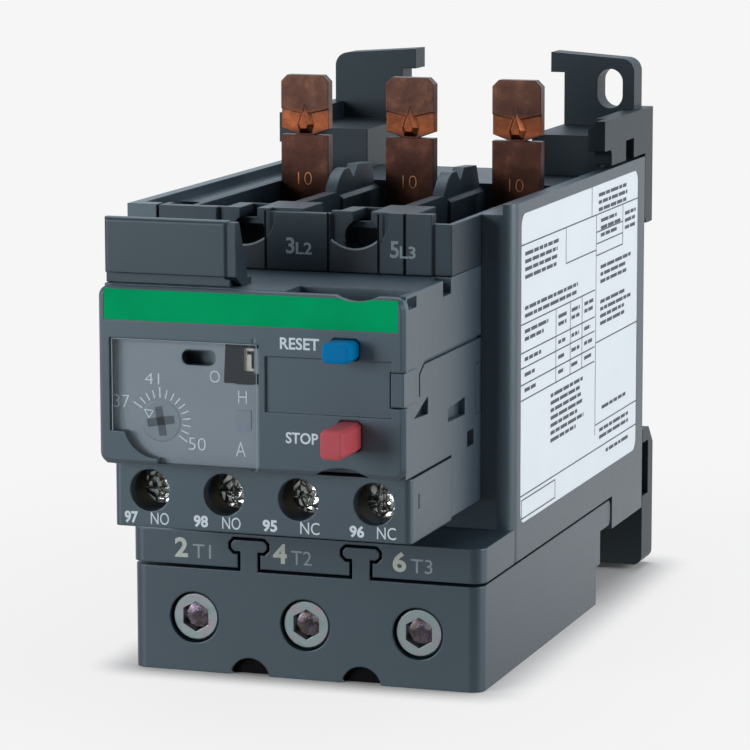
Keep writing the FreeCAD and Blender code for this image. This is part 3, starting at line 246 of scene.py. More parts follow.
finishes = {
    "charcoal": mouldedPlastic("charcoalMoulding", (0.016, 0.026, 0.037), 0.37),
    # darker moulding for the pole shroud: painted shade
    "dark": mouldedPlastic("darkShadedMoulding", (0.006, 0.011, 0.017), 0.42, specular=0.6),
    "grey": mouldedPlastic("greyMoulding", (0.025, 0.037, 0.049), 0.37),
    "green": mouldedPlastic("greenBand", (0.0, 0.27, 0.095), 0.5, 0.000008, 0.0001, 0.02),
    "label": mouldedPlastic("labelFilm", (0.66, 0.67, 0.69), 0.45, 0.000004, 0.0001, 0.25, 0.015),
    "clear": clearCover("clearCover"),
    "dial": mouldedPlastic("dialPlastic", (0.11, 0.125, 0.142), 0.5, 0.000004),
    "blue": mouldedPlastic("blueButton", (0.0, 0.14, 0.33), 0.42, 0.00001, 0.0003, 0.06),
    "red": mouldedPlastic("redButton", (0.40, 0.055, 0.065), 0.42, 0.00001, 0.0003, 0.3),
    "beige": mouldedPlastic("beigePlastic", (0.42, 0.38, 0.30), 0.5),
    "copper": copperBlade("tarnishedAndLitCopper"),
    "tinned": platedMetal("tinnedCopper", (0.50, 0.47, 0.42), 0.35),
    "socket": platedMetal("socketFacets", (0.60, 0.54, 0.60), 0.26, (0.42, 0.38, 0.31)),
    "glint": platedMetal("stampGlint", (0.62, 0.25, 0.11), 0.3, (0.22, 0.08, 0.04)),
    "tray": mouldedPlastic("trayPanel", (0.125, 0.142, 0.160), 0.5, 0.000004),
    "apron": printInk("apronMoulding", (0.014, 0.020, 0.027)),
    # darker moulding for the rear carrier: painted shade
    "rear": mouldedPlastic("rearShadedMoulding", (0.006, 0.010, 0.014), 0.45, specular=0.4),
    "flag": mouldedPlastic("flagMoulding", (0.008, 0.014, 0.020), 0.42, specular=0.7),
    "zinc": platedMetal("zincPlate", (0.27, 0.33, 0.33), 0.36, (0.33, 0.29, 0.31)),
    "bimetal": platedMetal("bimetalStrip", (0.46, 0.42, 0.36), 0.35),
    "ribbon": platedMetal("heaterRibbon", (0.28, 0.26, 0.25), 0.5),
    "spring": platedMetal("springSteel", (0.55, 0.56, 0.57), 0.25),
    "head": pressedHead("pressedScrewHead", (0.86, 0.86, 0.80)),
    "brass": platedMetal("contactBrass", (0.62, 0.46, 0.20), 0.3),
    "ink": printInk("paleInk", (0.55, 0.60, 0.63)),
    # grey print, also used for painted highlights on the hole lips and the window edges
    "softInk": printInk("greyInkAndHighlight", (0.22, 0.26, 0.28)),
    "beigeInk": printInk("beigeInk", (0.42, 0.43, 0.38)),
    "shadow": printInk("recessShadow", (0.062, 0.072, 0.086), 0.05),
    # black for the seams and the slider letter, also painted shade in the test opening and the foot notches
    "black": printInk("blackPrintJointsAndShade", (0.006, 0.005, 0.006), 0.03),
    "blueGrey": printInk("blueGreySlot", (0.13, 0.16, 0.23)),
    "darkInk": printInk("darkInk", (0.035, 0.04, 0.055)),
}

print("finishes ready:", len(finishes))

# the finish of each material slot
slotFinish = {
    "charcoal_polyamide": "charcoal", "grey_polyamide": "grey", "green_band": "green",
    "label_film": "label", "clear_polycarbonate": "clear", "dial_grey": "dial",
    "signal_blue": "blue", "signal_red": "red", "beige_polyester": "beige", "copper": "copper",
    "tinned_copper": "tinned", "zinc_steel": "zinc", "bimetal": "bimetal",
    "resistance_ribbon": "ribbon", "spring_steel": "spring", "contact_brass": "brass",
}

# nodes whose finish differs from their slot's; the shroud and the rear carrier get darker mouldings as
# painted shade where they lie in shadow
nodeFinish = {"pole_shroud": "dark", "rear_carrier": "rear", "locating_flag": "flag"}
nodeFinish.update(("aux_screw_%d" % number, "head") for number in range(1, 5))


def dressNodes():
    for part in frame["record"]["subparts"]:
        node = nodes[part["node"]]
        node.data.materials.clear()
        chosen = nodeFinish.get(part["node"], slotFinish[part["material_slot"]])
        node.data.materials.append(finishes[chosen])
    print("nodes dressed")


dressNodes()


# camera, lamps, floor

view = {"eye": (0.181646, -0.53773, 0.131236), "aim": (0.000756, -0.0034, 0.04109),
        "roll": -0.07, "lens": 178.46}


def makeCamera():
    lens = bpy.data.cameras.new("camera")
    lens.lens = view["lens"]
    lens.sensor_width = 36
    lens.clip_start = 0.01
    camera = bpy.data.objects.new("camera", lens)
    eye = Vector(view["eye"])
    turn = (Vector(view["aim"]) - eye).to_track_quat("-Z", "Y").to_matrix().to_4x4()
    roll = Matrix.Rotation(math.radians(view["roll"]), 4, "Z")
    camera.matrix_world = Matrix.Translation(eye) @ turn @ roll
    bpy.context.scene.collection.objects.link(camera)
    bpy.context.scene.camera = camera


studio = {
    "tint": (0.87, 0.955, 1.0), "aim": (0, 0, 0.04), "backdrop": 0.922,
    "room": (0.86, 0.97, 1.07), "ahead": 0.26, "behind": 1.0, "roomSpan": (-0.3, 0.45),
    "diffuse": 0.55, "shine": 1.0,                                     # the room in fill light and in gloss
    "floor": 0.72, "floorSize": 3.0, "mirror": 1.0, "floorSpan": (-0.12, 0.08),
    "least": 0.87, "inset": 0.001, "contact": 0.009, "fadeTo": 0.12,   # how the floor's shadow fades out
}
lampPlan = {
    "sideLamp": {"at": (0.95, 0.06, 0.30), "size": 0.60, "power": 7.4},
    "topLamp": {"at": (-0.05, 0.25, 0.85), "size": 0.70, "power": 3.6},
    "frontLamp": {"at": (-0.62, -0.78, 0.22), "size": 0.50, "power": 8.0},
}


def makeLamps():
    aim = Vector(studio["aim"])
    for name, plan in lampPlan.items():
        lamp = bpy.data.lights.new(name, "AREA")
        lamp.shape = "SQUARE"
        lamp.size = plan["size"]
        lamp.energy = plan["power"]
        lamp.color = studio["tint"]
        holder = bpy.data.objects.new(name, lamp)
        holder.location = plan["at"]
        holder.rotation_euler = (aim - Vector(plan["at"])).to_track_quat("-Z", "Y").to_euler()
        bpy.context.scene.collection.objects.link(holder)


def addMaths(tree, kind, first, second):
    step = tree.nodes.new("ShaderNodeMath")
    step.operation = kind
    for socket, value in zip(step.inputs, (first, second)):
        if isinstance(value, (int, float)):
            socket.default_value = value
        else:
            tree.links.new(value, socket)
    return step.outputs["Value"]


# a pale room: brighter behind the relay than at the camera's side
def makeWorld():
    world = bpy.data.worlds.new("studio")
    world.use_nodes = True
    tree = world.node_tree
    room = tree.nodes["Background"]
    room.inputs["Color"].default_value = (*studio["room"], 1)
    spread = addSlope(tree, "Generated", "Y", *studio["roomSpan"], studio["ahead"], studio["behind"])
    path = tree.nodes.new("ShaderNodeLightPath")
    dim = addRange(tree, path.outputs["Is Glossy Ray"], studio["diffuse"], studio["shine"])
    tree.links.new(addMaths(tree, "MULTIPLY", spread, dim), room.inputs["Strength"])
    seen = tree.nodes.new("ShaderNodeBackground")
    seen.inputs["Color"].default_value = (studio["backdrop"],) * 3 + (1,)
    mix = tree.nodes.new("ShaderNodeMixShader")
    tree.links.new(path.outputs["Is Camera Ray"], mix.inputs["Fac"])
    tree.links.new(room.outputs["Background"], mix.inputs[1])
    tree.links.new(seen.outputs["Background"], mix.inputs[2])
    tree.links.new(mix.outputs["Shader"], tree.nodes["World Output"].inputs["Surface"])
    bpy.context.scene.world = world
    bpy.context.scene.view_settings.view_transform = "Standard"


# how far a point of the floor lies outside the relay's foot
def addDistance(tree):
    place = tree.nodes.new("ShaderNodeTexCoord")
    split = tree.nodes.new("ShaderNodeSeparateXYZ")
    tree.links.new(place.outputs["Object"], split.inputs["Vector"])
    low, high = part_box("terminal_block")[0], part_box("rear_carrier")[1]
    squares = []
    for number, axis in enumerate("XY"):
        middle = (low[number] + high[number]) / 2
        half = (high[number] - low[number]) / 2 - studio["inset"]
        offset = addMaths(tree, "ABSOLUTE", addMaths(tree, "SUBTRACT", split.outputs[axis], middle), 0)
        outside = addMaths(tree, "MAXIMUM", addMaths(tree, "SUBTRACT", offset, half), 0)
        squares.append(addMaths(tree, "POWER", outside, 2))
    return addMaths(tree, "SQRT", addMaths(tree, "ADD", *squares), 0)


# one smooth step of the fade, from 0 to its share over a stretch of distance
def addFade(tree, distance, start, stop, share):
    fade = tree.nodes.new("ShaderNodeMapRange")
    fade.interpolation_type = "SMOOTHSTEP"
    fade.inputs["From Min"].default_value = start
    fade.inputs["From Max"].default_value = stop
    fade.inputs["To Max"].default_value = share
    tree.links.new(distance, fade.inputs["Value"])
    return fade.outputs["Result"]


# the floor takes the shadow near the relay and runs into the backdrop's colour further out
def makeFloor():
    mesh = bpy.data.meshes.new("floor")
    sheet = bmesh.new()
    bmesh.ops.create_grid(sheet, x_segments=1, y_segments=1, size=studio["floorSize"])
    sheet.to_mesh(mesh)
    sheet.free()
    floor = bpy.data.objects.new("floor", mesh)
    bpy.context.scene.collection.objects.link(floor)
    material, tree, shader = startMaterial("paleFloor")
    pale = tuple(studio["floor"] / part for part in studio["tint"])    # neutral under the tinted lamps
    cloud = addRamp(tree, addNoise(tree, 3, 2), [(0, pale), (1, shade(pale, 1.02))])
    tree.links.new(cloud, shader.inputs["Base Color"])
    shader.inputs["Roughness"].default_value = 0.95
    shader.inputs["Specular IOR Level"].default_value = 0.0
    glow = tree.nodes.new("ShaderNodeEmission")
    glow.inputs["Color"].default_value = (studio["backdrop"],) * 3 + (1,)
    depth = addSlope(tree, "Object", "Y", *studio["floorSpan"], studio["ahead"], studio["mirror"])
    distance = addDistance(tree)
    near = addFade(tree, distance, 0.0, studio["contact"], studio["least"])
    far = addFade(tree, distance, studio["contact"], studio["fadeTo"], 1 - studio["least"])
    fade = addMaths(tree, "ADD", near, far)
    path = tree.nodes.new("ShaderNodeLightPath")
    camera = path.outputs["Is Camera Ray"]
    gloss = path.outputs["Is Glossy Ray"]
    strength = addMaths(tree, "ADD", camera, addMaths(tree, "MULTIPLY", gloss, depth))
    tree.links.new(strength, glow.inputs["Strength"])
    share = addMaths(tree, "ADD", addMaths(tree, "MULTIPLY", fade, camera), gloss)
    mix = tree.nodes.new("ShaderNodeMixShader")
    tree.links.new(share, mix.inputs["Fac"])
    tree.links.new(shader.outputs["BSDF"], mix.inputs[1])
    tree.links.new(glow.outputs["Emission"], mix.inputs[2])
    tree.links.new(mix.outputs["Shader"], tree.nodes["Material Output"].inputs["Surface"])
    mesh.materials.append(material)


makeCamera()
makeLamps()
makeWorld()
makeFloor()
print("camera, lamps and floor ready")


# small helpers for added pieces: marks are thin films that lie just off the surface they are printed on
inkLift = 0.00003     # how far a mark lies off its surface, in metres
inkThick = 0.00002
wellAhead = -0.2      # where a ray towards the relay starts, in front of everything
faceFront = Matrix.Rotation(math.radians(90), 4, "X")


def settle(name, mesh, finish, body):
    piece = bpy.data.objects.new(name, mesh)
    mesh.materials.append(finishes[finish])
    bpy.context.scene.collection.objects.link(piece)
    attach(piece, body)
    return piece


def settleSheet(name, sheet, finish, body):
    mesh = bpy.data.meshes.new(name)
    sheet.to_mesh(mesh)
    sheet.free()
    return settle(name, mesh, finish, body)


def curveMesh(name, curve):
    holder = bpy.data.objects.new(name + "_curve", curve)
    bpy.context.scene.collection.objects.link(holder)
    bpy.context.view_layer.update()
    mesh = bpy.data.meshes.new_from_object(holder)
    bpy.data.objects.remove(holder)
    mesh.name = name
    mesh.materials.clear()
    return mesh


# the depth of the first surface met from the front at (x, z), in metres
def frontOf(x, z, *names):
    hits = []
    for name in names:
        node = nodes[name]
        back = node.matrix_world.inverted()
        start = back @ Vector((x * mm, wellAhead, z * mm))
        hit, spot = node.ray_cast(start, back.to_3x3() @ Vector((0, 1, 0)))[:2]
        if hit:
            hits.append((node.matrix_world @ spot).y)
    return min(hits)


# a word fitted to a width and height in mm and pressed to a film; heavy thickens its strokes
wordCurve = {"depth": 0.01, "steps": 4}    # depth in curve units, before the word is pressed flat


def textMesh(name, words, wide, tall, heavy):
    curve = bpy.data.curves.new(name, "FONT")
    curve.body = words
    curve.size = 1
    curve.offset = heavy
    curve.extrude = wordCurve["depth"]
    curve.resolution_u = wordCurve["steps"]
    mesh = curveMesh(name, curve)
    xs = [spot.co.x for spot in mesh.vertices]
    ys = [spot.co.y for spot in mesh.vertices]
    middle = Vector(((min(xs) + max(xs)) / 2, (min(ys) + max(ys)) / 2, 0))
    for spot in mesh.vertices:
        spot.co -= middle
        spot.co.x *= wide * mm / (max(xs) - min(xs))
        spot.co.y *= tall * mm / (max(ys) - min(ys))
        spot.co.z *= inkThick
    return mesh


def frontMark(name, words, x, z, wide, tall, y, finish="ink", heavy=0.0, body="root"):
    mesh = textMesh(name, words, wide, tall, heavy)
    mesh.transform(Matrix.Translation((x * mm, y - inkLift, z * mm)) @ faceFront)
    settle(name, mesh, finish, body)


# gives flat faces their thickness and closes them
def thicken(sheet, step):
    grown = bmesh.ops.extrude_face_region(sheet, geom=sheet.faces[:], use_keep_orig=True)
    moved = [part for part in grown["geom"] if isinstance(part, bmesh.types.BMVert)]
    bmesh.ops.translate(sheet, verts=moved, vec=step)
    bmesh.ops.recalc_face_normals(sheet, faces=sheet.faces)


# flat strokes on a front plane: each is a list of corner points in mm
def frontStrokes(name, y, shapes, finish="ink", body="root", thick=inkThick):
    sheet = bmesh.new()
    for shape in shapes:
        sheet.faces.new([sheet.verts.new((x * mm, y - inkLift, z * mm)) for x, z in shape])
    thicken(sheet, Vector((0, thick, 0)))
    settleSheet(name, sheet, finish, body)


# the four corners of a straight stroke
def line(first, second, width):
    along = Vector((second[0] - first[0], second[1] - first[1])).normalized() * width / 2
    side = Vector((-along.y, along.x))
    return [tuple(Vector(spot) + side * turn) for spot, turn in
            ((first, -1), (second, -1), (second, 1), (first, 1))]


def polar(centre, radius, angle):
    turn = math.radians(angle)
    return centre[0] + radius * math.cos(turn), centre[1] + radius * math.sin(turn)


# terminal numbers, letters, blade numbers and the two button words: word, x, z, width, height in mm
barMarks = {
    "numbers": [("97", -19.89, 26.75, 2.1, 1.75), ("98", -9.17, 26.75, 2.2, 1.75),
                ("95", 1.34, 26.75, 2.2, 1.75), ("96", 14.41, 26.75, 2.2, 1.75)],
    "letters": [("NO", -15.48, 26.75, 2.8, 1.75), ("NO", -4.50, 26.75, 2.8, 1.75),
                ("NC", 7.38, 26.75, 2.9, 1.75), ("NC", 18.80, 26.75, 2.8, 1.75)],
}
stripMarks = {
    "numbers": [("2", -19.46, 18.75, 2.1, 3.0), ("4", -3.86, 18.75, 2.2, 3.0),
                ("6", 14.70, 18.75, 2.1, 3.0)],
    "letters": [("T1", -16.2, 18.3, 2.9, 2.1), ("T2", -0.5, 18.3, 3.2, 2.1),
                ("T3", 18.1, 18.3, 3.3, 2.1)],
}
blockMarks = [("3", -2.0, 64.6, 1.3, 2.4), ("L2", 0.1, 64.25, 2.5, 1.75),
              ("5", 13.95, 64.6, 1.35, 2.5), ("L3", 15.95, 64.25, 2.4, 1.8)]
bladeStamp = {"word": "10", "z": 68.9, "wide": 2.3, "tall": 2.0}
coverMarks = [("RESET", 7.48, 53.79, 5.8, 1.7), ("STOP", 7.79, 40.44, 4.8, 1.6)]


def makeTerminalMarks():
    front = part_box("aux_terminal_bar")[0].y
    for kind, finish, heavy in (("numbers", "ink", 0.035), ("letters", "ink", 0.0)):
        for word, x, z, wide, tall in barMarks[kind]:
            frontMark("bar_mark_%d_%s" % (x + 30, word), word, x, z, wide, tall, front, finish, heavy)
    for kind, finish, heavy in (("numbers", "beigeInk", 0.03), ("letters", "softInk", 0.0)):
        for word, x, z, wide, tall in stripMarks[kind]:
            y = frontOf(x, z, "terminal_block", "main_housing")
            frontMark("strip_mark_" + word, word, x, z, wide, tall, y, finish, heavy)
    for word, x, z, wide, tall in blockMarks:
        y = frontOf(x, z, "pole_shroud", "main_housing")
        frontMark("block_mark_" + word, word, x, z, wide, tall, y, "softInk", 0.02)
    for number in range(1, 4):
        node = "contact_blade_%d" % number
        low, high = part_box(node)
        x = (low.x + high.x) / 2 / mm
        z = bladeStamp["z"]
        frontMark("blade_stamp_%d" % number, bladeStamp["word"], x, z, bladeStamp["wide"],
                  bladeStamp["tall"], frontOf(x, z, node), "glint", -0.025)
    for word, x, z, wide, tall in coverMarks:
        frontMark("word_" + word.lower(), word, x, z, wide, tall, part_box("front_cover")[0].y, "ink", 0.02)


# seams between the moulded blocks and the aprons that close the lower half of the wire holes
blockSeams = {"at": (-5.85, 3.8, 11.5), "low": 61.1, "high": 69.6, "width": 0.3}
wireHoles = {"centres": (-9.3, 7.85), "half": 3.55, "top": 65.7, "dip": 1.3, "foot": 61.1, "lip": 0.28,
             "thick": 0.6}


def makeBlockDetails():
    front = frontOf(0, 66, "pole_shroud", "main_housing")
    wide = blockSeams["width"]
    for number, x in enumerate(blockSeams["at"], 1):
        depth = min(frontOf(x + side, 64, "pole_shroud", "main_housing") for side in (-wide, 0, wide))
        seam = line((x, blockSeams["low"]), (x, blockSeams["high"]), wide)
        frontStrokes("block_seam_%d" % number, depth - 2 * inkLift, [seam], "black")
    for number, centre in enumerate(wireHoles["centres"], 1):
        half = wireHoles["half"]
        arc = []
        for step in range(17):
            across = -1 + step / 8
            sunk = wireHoles["dip"] * (1 - across * across) if abs(across) < 1 else 0
            arc.append((centre + half * across, wireHoles["top"] - sunk))
        foot = wireHoles["foot"]
        apron = [(arc[-1][0], foot), (arc[0][0], foot)]
        frontStrokes("hole_apron_%d" % number, front, [arc + apron], "apron",
                     thick=wireHoles["thick"] * mm)
        # a grey line along each apron's arched edge: painted highlight where the edge catches the light
        lip = [line(left, right, wireHoles["lip"]) for left, right in zip(arc, arc[1:])]
        frontStrokes("hole_lip_%d" % number, front - inkLift, lip, "softInk")


# the current scale round the dial, 37 to 50 in steps of one, with longer ticks at 37, 41 and 50
scale = {"centre": (-14.0, 41.5), "first": 148.0, "last": -35.0, "steps": 13, "inner": 3.35,
         "outer": 4.55, "long": 4.9, "ink": 0.17, "tray": -54.55, "print": -54.61}
scaleMarks = [("37", -20.0, 44.1, 2.4, 1.85), ("41", -15.3, 47.55, 2.2, 1.6), ("50", -8.5, 38.5, 2.6, 1.8),
              ("O", -5.75, 48.3, 1.5, 1.7), ("H", -1.6, 45.6, 1.3, 1.8), ("A", -1.9, 38.1, 1.5, 2.1)]


def makeScale():
    centre = scale["centre"]
    y = scale["print"] * mm
    ticks = []
    for step in range(scale["steps"] + 1):
        angle = scale["first"] + (scale["last"] - scale["first"]) * step / scale["steps"]
        longer = step in (0, 4, scale["steps"])
        ticks.append(line(polar(centre, scale["inner"], angle),
                          polar(centre, scale["long"] if longer else scale["outer"], angle),
                          scale["ink"]))
    frontStrokes("scale_ticks", y, ticks)
    for word, x, z, wide, tall in scaleMarks:
        frontMark("scale_mark_" + word, word, x, z, wide, tall, y, "ink", -0.012)


# the dial's arrow: a thin triangle
pointer = {"tip": 2.95, "base": 1.75, "half": 0.62, "angle": 148.0, "ink": 0.13}


def makePointer():
    centre = scale["centre"]
    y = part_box("setting_dial")[0].y
    tip = Vector(polar(centre, pointer["tip"], pointer["angle"]))
    root = Vector(polar(centre, pointer["base"], pointer["angle"]))
    away = Vector(polar((0, 0), pointer["half"], pointer["angle"] + 90))
    corners = [tip, root + away, root - away]
    sides = [line(tuple(a), tuple(b), pointer["ink"]) for a, b in zip(corners, corners[1:] + corners[:1])]
    frontStrokes("dial_pointer", y, sides, "ink", bodyOf["setting_dial"])


# the pale tray face behind the smoked cover, open where the slot and the slider lie
tray = {
    "outline": [(-21.3, 35.0), (1.5, 35.0), (1.5, 53.9), (-21.3, 53.9)],
    "slot": (-10.7, -5.6, 49.8, 52.0), "slider": (-2.6, 0.2, 47.4, 52.9), "corner": 0.9,
    "sliderCorner": 0.1, "edgeWidth": 0.11,
    "edges": [((-20.85, 53.3), (1.0, 53.3)), ((1.0, 53.3), (1.0, 35.5)), ((-20.85, 53.3), (-20.85, 39.2))],
}


def roundBox(x0, x1, z0, z1, corner):
    spots = []
    for cx, cz, start in ((x1 - corner, z1 - corner, 0), (x0 + corner, z1 - corner, 90),
                          (x0 + corner, z0 + corner, 180), (x1 - corner, z0 + corner, 270)):
        spots += [polar((cx, cz), corner, start + 15 * step) for step in range(7)]
    return spots


def makeTray():
    curve = bpy.data.curves.new("tray_face", "CURVE")
    curve.dimensions = "2D"
    curve.fill_mode = "BOTH"
    curve.extrude = inkThick / 2
    shapes = [tray["outline"], roundBox(*tray["slot"], tray["corner"]),
              roundBox(*tray["slider"], tray["sliderCorner"])]
    for shape in shapes:
        spline = curve.splines.new("POLY")
        spline.points.add(len(shape) - 1)
        spline.use_cyclic_u = True
        for point, (x, z) in zip(spline.points, shape):
            point.co = (x * mm, z * mm, 0, 1)
    mesh = curveMesh("tray_face", curve)
    mesh.transform(Matrix.Translation((0, scale["tray"] * mm - inkLift, 0)) @ faceFront)
    settle("tray_face", mesh, "tray", "root")
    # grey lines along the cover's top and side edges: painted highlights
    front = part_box("window_cover")[0].y + 3 * inkLift
    edges = [line(a, b, tray["edgeWidth"]) for a, b in tray["edges"]]
    frontStrokes("window_edge_highlights", front, edges, "softInk", bodyOf["window_cover"])


# the dial: a round knob on a narrower shaft
knob = {"radius": 3.1, "lip": 1.9, "shaft": 1.9, "corner": 0.25, "sides": 48, "tolerance": 0.01}


def makeDial():
    low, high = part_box("setting_dial")
    sheet = bmesh.new()
    cx, cz = (value * mm for value in scale["centre"])
    for radius, front, back in ((knob["radius"] * mm, low.y, low.y + knob["lip"] * mm),
                                (knob["shaft"] * mm, low.y + knob["lip"] * mm, high.y)):
        place = Matrix.Translation((cx, (front + back) / 2, cz)) @ faceFront
        bmesh.ops.create_cone(sheet, cap_ends=True, segments=knob["sides"], radius1=radius,
                              radius2=radius, depth=back - front, matrix=place)
    rim = [edge for edge in sheet.edges
           if all(abs(spot.co.y - low.y) < knob["tolerance"] * mm for spot in edge.verts)]
    bmesh.ops.bevel(sheet, geom=rim, offset=knob["corner"] * mm, segments=3, affect="EDGES", profile=0.5,
                    material=-1)
    bmesh.ops.recalc_face_normals(sheet, faces=sheet.faces)
    piece = settleSheet("dial_knob", sheet, "dial", bodyOf["setting_dial"])
    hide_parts("setting_dial")


# the dial's driver recess
cross = {"reach": 2.1, "half": 0.58, "turn": 10.0}


def makeCross():
    centre = scale["centre"]
    arms = [line(polar(centre, cross["reach"], cross["turn"] + quarter),
                 polar(centre, -cross["reach"], cross["turn"] + quarter), 2 * cross["half"])
            for quarter in (0, 90)]
    frontStrokes("dial_cross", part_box("setting_dial")[0].y, arms, "shadow", bodyOf["setting_dial"])


# black sheets round the slider as painted shade of its dark opening, the slider's letter, and the
# selector's slot
window = {
    "opening": [[(-4.4, 47.5), (-1.35, 47.5), (-1.35, 53.1), (-4.1, 53.1)],
                [(-1.35, 47.5), (0.95, 47.5), (0.95, 49.0), (-1.35, 49.0)],
                [(-1.35, 52.6), (0.95, 52.6), (0.95, 53.1), (-1.35, 53.1)]],
    "letter": ("T", -0.15, 50.9, 1.7, 2.5),
    "slot": [(-2.6, 40.7), (-0.3, 40.7), (-0.3, 41.7), (-2.6, 41.7)],
}


def makeWindowDetails():
    # the opening's black sheets are painted shade
    frontStrokes("test_opening_shade", scale["print"] * mm, window["opening"], "black")
    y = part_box("test_slider")[0].y
    frontMark("slider_letter", *window["letter"], y, "black", 0.03, bodyOf["test_slider"])
    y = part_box("mode_selector")[0].y
    frontStrokes("selector_slot", y, [window["slot"]], "blueGrey", bodyOf["mode_selector"])


# the arched notches at the foot of the terminal block, filled a little behind their front with black sheets
# of painted shade
notches = {"centres": (-8.75, 8.75), "radius": 3.1, "rise": 2.7, "sunk": 1.2, "foot": 0.05}


def makeNotches():
    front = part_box("terminal_block")[0].y + notches["sunk"] * mm
    for number, centre in enumerate(notches["centres"], 1):
        angles = [math.radians(15 * step) for step in range(13)]
        shape = [(centre + notches["radius"] * math.cos(angle),
                  notches["foot"] + notches["rise"] * math.sin(angle)) for angle in angles]
        frontStrokes("foot_notch_%d" % number, front, [shape], "black")


# the pressed hexagon socket of each power screw: six bright facets that fall to a small flat
socket = {"radius": 2.2, "sides": 6, "face": 3.0, "centre": 0.62, "lift": 0.06, "sunk": 0.35, "turn": 30}


def makeSockets():
    for number in range(1, 4):
        node = "power_screw_%d" % number
        low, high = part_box(node)
        x, z = (low.x + high.x) / 2 / mm, (low.z + high.z) / 2 / mm
        floor = frontOf(x, z, node) / mm - socket["lift"]
        face = frontOf(x + socket["face"], z, node) / mm
        rim = face + socket["sunk"] * (floor - face)
        sheet = bmesh.new()
        turn = faceFront @ Matrix.Rotation(math.radians(socket["turn"]), 4, "Z")
        place = Matrix.Translation((x * mm, (rim + floor) / 2 * mm, z * mm)) @ turn
        bmesh.ops.create_cone(sheet, cap_ends=True, segments=socket["sides"], depth=(floor - rim) * mm,
                              radius1=socket["centre"] * mm, radius2=socket["radius"] * mm, matrix=place)
        mouth = max(sheet.faces, key=lambda face: face.calc_area() if len(face.verts) == 6 else 0)
        bmesh.ops.delete(sheet, geom=[mouth], context="FACES_ONLY")
        bmesh.ops.recalc_face_normals(sheet, faces=sheet.faces)
        if sum(face.normal.y for face in sheet.faces) > 0:
            bmesh.ops.reverse_faces(sheet, faces=sheet.faces)
        settleSheet("screw_socket_%d" % number, sheet, "socket", bodyOf[node])


# the two return springs: open coils that take the place of the hidden spring parts
coil = {"wire": 0.35, "turns": 5, "steps": 24, "sides": 10,
        "presses": {"reset_spring": "reset_press", "stop_spring": "stop_press"}}


def makeSprings():
    wire, steps = coil["wire"] * mm, coil["turns"] * coil["steps"]
    for node, press in coil["presses"].items():
        low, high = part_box(node)
        middle = (low + high) / 2
        reach = (high.x - low.x - wire) / 2
        place = Matrix.Translation((middle.x + reach, low.y + wire / 2, middle.z))
        sheet = bmesh.new()
        bmesh.ops.create_circle(sheet, segments=coil["sides"], radius=wire / 2, matrix=place)
        bmesh.ops.spin(sheet, geom=sheet.verts[:] + sheet.edges[:], cent=(middle.x, 0, middle.z),
                       axis=(0, 1, 0), dvec=(0, (high.y - low.y - wire) / steps, 0),
                       angle=math.tau * coil["turns"], steps=steps)
        bmesh.ops.holes_fill(sheet, edges=[edge for edge in sheet.edges if edge.is_boundary])
        bmesh.ops.recalc_face_normals(sheet, faces=sheet.faces)
        name = node.split("_")[0] + "_coil"
        piece = settleSheet(name, sheet, "spring", "root")
        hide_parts(node)
        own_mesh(piece)


makeTerminalMarks()
makeSprings()
makeBlockDetails()
makeSockets()
makeNotches()
makeTray()
makeScale()
makeDial()
makePointer()
makeCross()
makeWindowDetails()
print("marks, springs, sockets, dial and scale done")


# the side label: a film with ruled lines and plain bars where a rating plate has its print
label = {"film": 0.16, "ink": 0.19, "rule": 0.2, "corner": 1.2, "seed": 7,
         "row": 0.025, "bar": 0.012, "gap": 0.008, "word": (0.02, 0.07), "ragged": 0.25}
# ruled lines from u0, v0 to u1, v1, both as shares of the label
labelRules = [
    (0.0, 0.10, 1.0, 0.10), (0.58, 0.0, 0.58, 0.10), (0.62, 0.10, 0.62, 0.86), (0.36, 0.10, 0.36, 0.22),
    (0.36, 0.22, 0.62, 0.22), (0.0, 0.355, 0.61, 0.355), (0.0, 0.447, 0.61, 0.447),
    (0.0, 0.496, 0.61, 0.496), (0.0, 0.55, 0.61, 0.55), (0.0, 0.60, 0.61, 0.60),
    (0.28, 0.355, 0.28, 0.60), (0.40, 0.355, 0.40, 0.60), (0.50, 0.355, 0.50, 0.60),
    (0.62, 0.54, 1.0, 0.54), (0.62, 0.825, 1.0, 0.825), (0.0, 0.91, 1.0, 0.91),
    (0.01, 0.925, 0.28, 0.925), (0.01, 0.985, 0.28, 0.985), (0.28, 0.925, 0.28, 0.985),
    (0.01, 0.925, 0.01, 0.985), (0.62, 0.16, 0.86, 0.16), (0.62, 0.20, 0.86, 0.20),
    (0.62, 0.24, 0.86, 0.24), (0.86, 0.10, 0.86, 0.24),
]
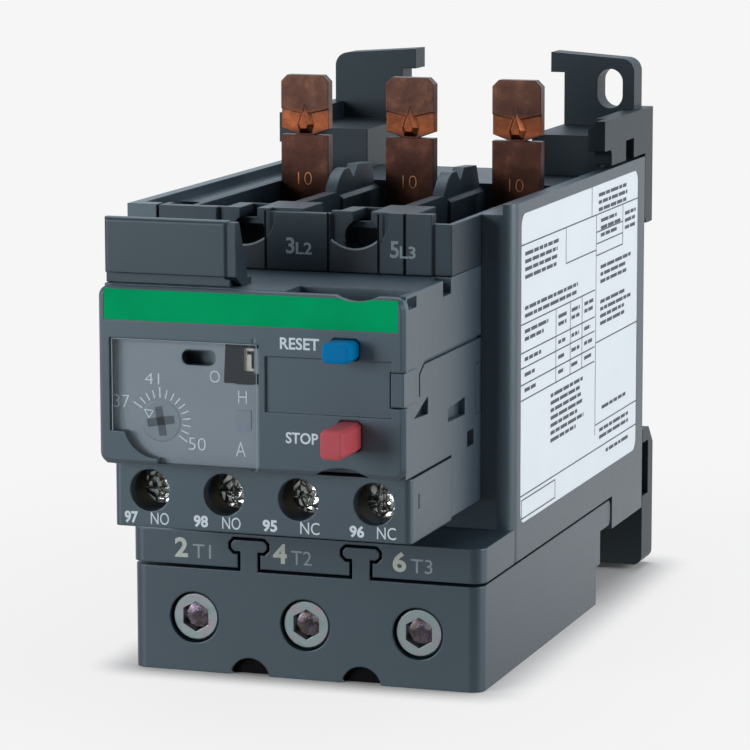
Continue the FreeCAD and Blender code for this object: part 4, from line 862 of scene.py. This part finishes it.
# blocks of bars from u0, v to u1, and how many rows
labelBars = [
    (0.03, 0.30, 0.50, 2), (0.03, 0.125, 0.30, 4), (0.64, 0.03, 0.96, 3), (0.66, 0.12, 0.84, 3),
    (0.88, 0.13, 0.98, 3), (0.03, 0.375, 0.22, 2), (0.03, 0.465, 0.20, 1), (0.03, 0.515, 0.12, 1),
    (0.03, 0.565, 0.12, 1), (0.30, 0.38, 0.38, 2), (0.30, 0.465, 0.37, 1), (0.30, 0.515, 0.36, 1),
    (0.30, 0.565, 0.36, 1), (0.41, 0.38, 0.48, 2), (0.41, 0.465, 0.48, 1), (0.41, 0.515, 0.48, 1),
    (0.41, 0.565, 0.48, 1), (0.52, 0.38, 0.60, 2), (0.52, 0.465, 0.59, 1), (0.52, 0.515, 0.59, 1),
    (0.52, 0.565, 0.59, 1), (0.24, 0.63, 0.52, 7), (0.66, 0.28, 0.95, 3), (0.66, 0.40, 0.95, 4),
    (0.68, 0.77, 0.96, 1), (0.66, 0.845, 0.97, 2), (0.72, 0.93, 0.96, 1),
]


# a rectangle on the label, from u along the side and v down the height, both 0 to 1
def labelPatch(sheet, low, high, x, u0, v0, u1, v1):
    deep, tall = high.y - low.y, high.z - low.z
    corners = ((u0, v0), (u1, v0), (u1, v1), (u0, v1))
    spots = [(x, low.y + deep * u, high.z - tall * v) for u, v in corners]
    sheet.faces.new([sheet.verts.new(spot) for spot in spots])


def makeLabel():
    low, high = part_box("side_label")
    film = bmesh.new()
    bmesh.ops.create_cube(film, size=1)
    middle = (low + high) / 2
    outer = low.x + label["film"] * mm
    for spot in film.verts:
        spot.co = Vector((outer if spot.co.x > 0 else low.x, middle.y + spot.co.y * (high.y - low.y),
                          middle.z + spot.co.z * (high.z - low.z)))
    edges = [edge for edge in film.edges if abs(edge.verts[0].co.x - edge.verts[1].co.x) > 0.0001]
    bmesh.ops.bevel(film, geom=edges, offset=label["corner"] * mm, segments=5, affect="EDGES",
                    profile=0.5, material=-1)
    bmesh.ops.recalc_face_normals(film, faces=film.faces)
    sheet = settleSheet("label_sheet", film, "label", "root")
    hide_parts("side_label")
    ink = bmesh.new()
    x = low.x + label["ink"] * mm
    wide = label["rule"] * mm / (high.y - low.y) / 2
    tall = label["rule"] * mm / (high.z - low.z) / 2
    for u0, v0, u1, v1 in labelRules:
        labelPatch(ink, low, high, x, u0 - wide * (u0 == u1), v0 - tall * (v0 == v1),
                   u1 + wide * (u0 == u1), v1 + tall * (v0 == v1))
    chance = random.Random(label["seed"])
    for u0, v, u1, rows in labelBars:
        for row in range(rows):
            top = v + row * label["row"]
            end = u1 - chance.uniform(0, label["ragged"]) * (u1 - u0)
            reach = u0
            while reach < end:
                stop = min(end, reach + chance.uniform(*label["word"]))
                labelPatch(ink, low, high, x, reach, top, stop, top + label["bar"])
                reach = stop + label["gap"]
    thicken(ink, Vector((-inkThick, 0, 0)))
    settleSheet("label_print", ink, "darkInk", "root")


makeLabel()
print("label done")
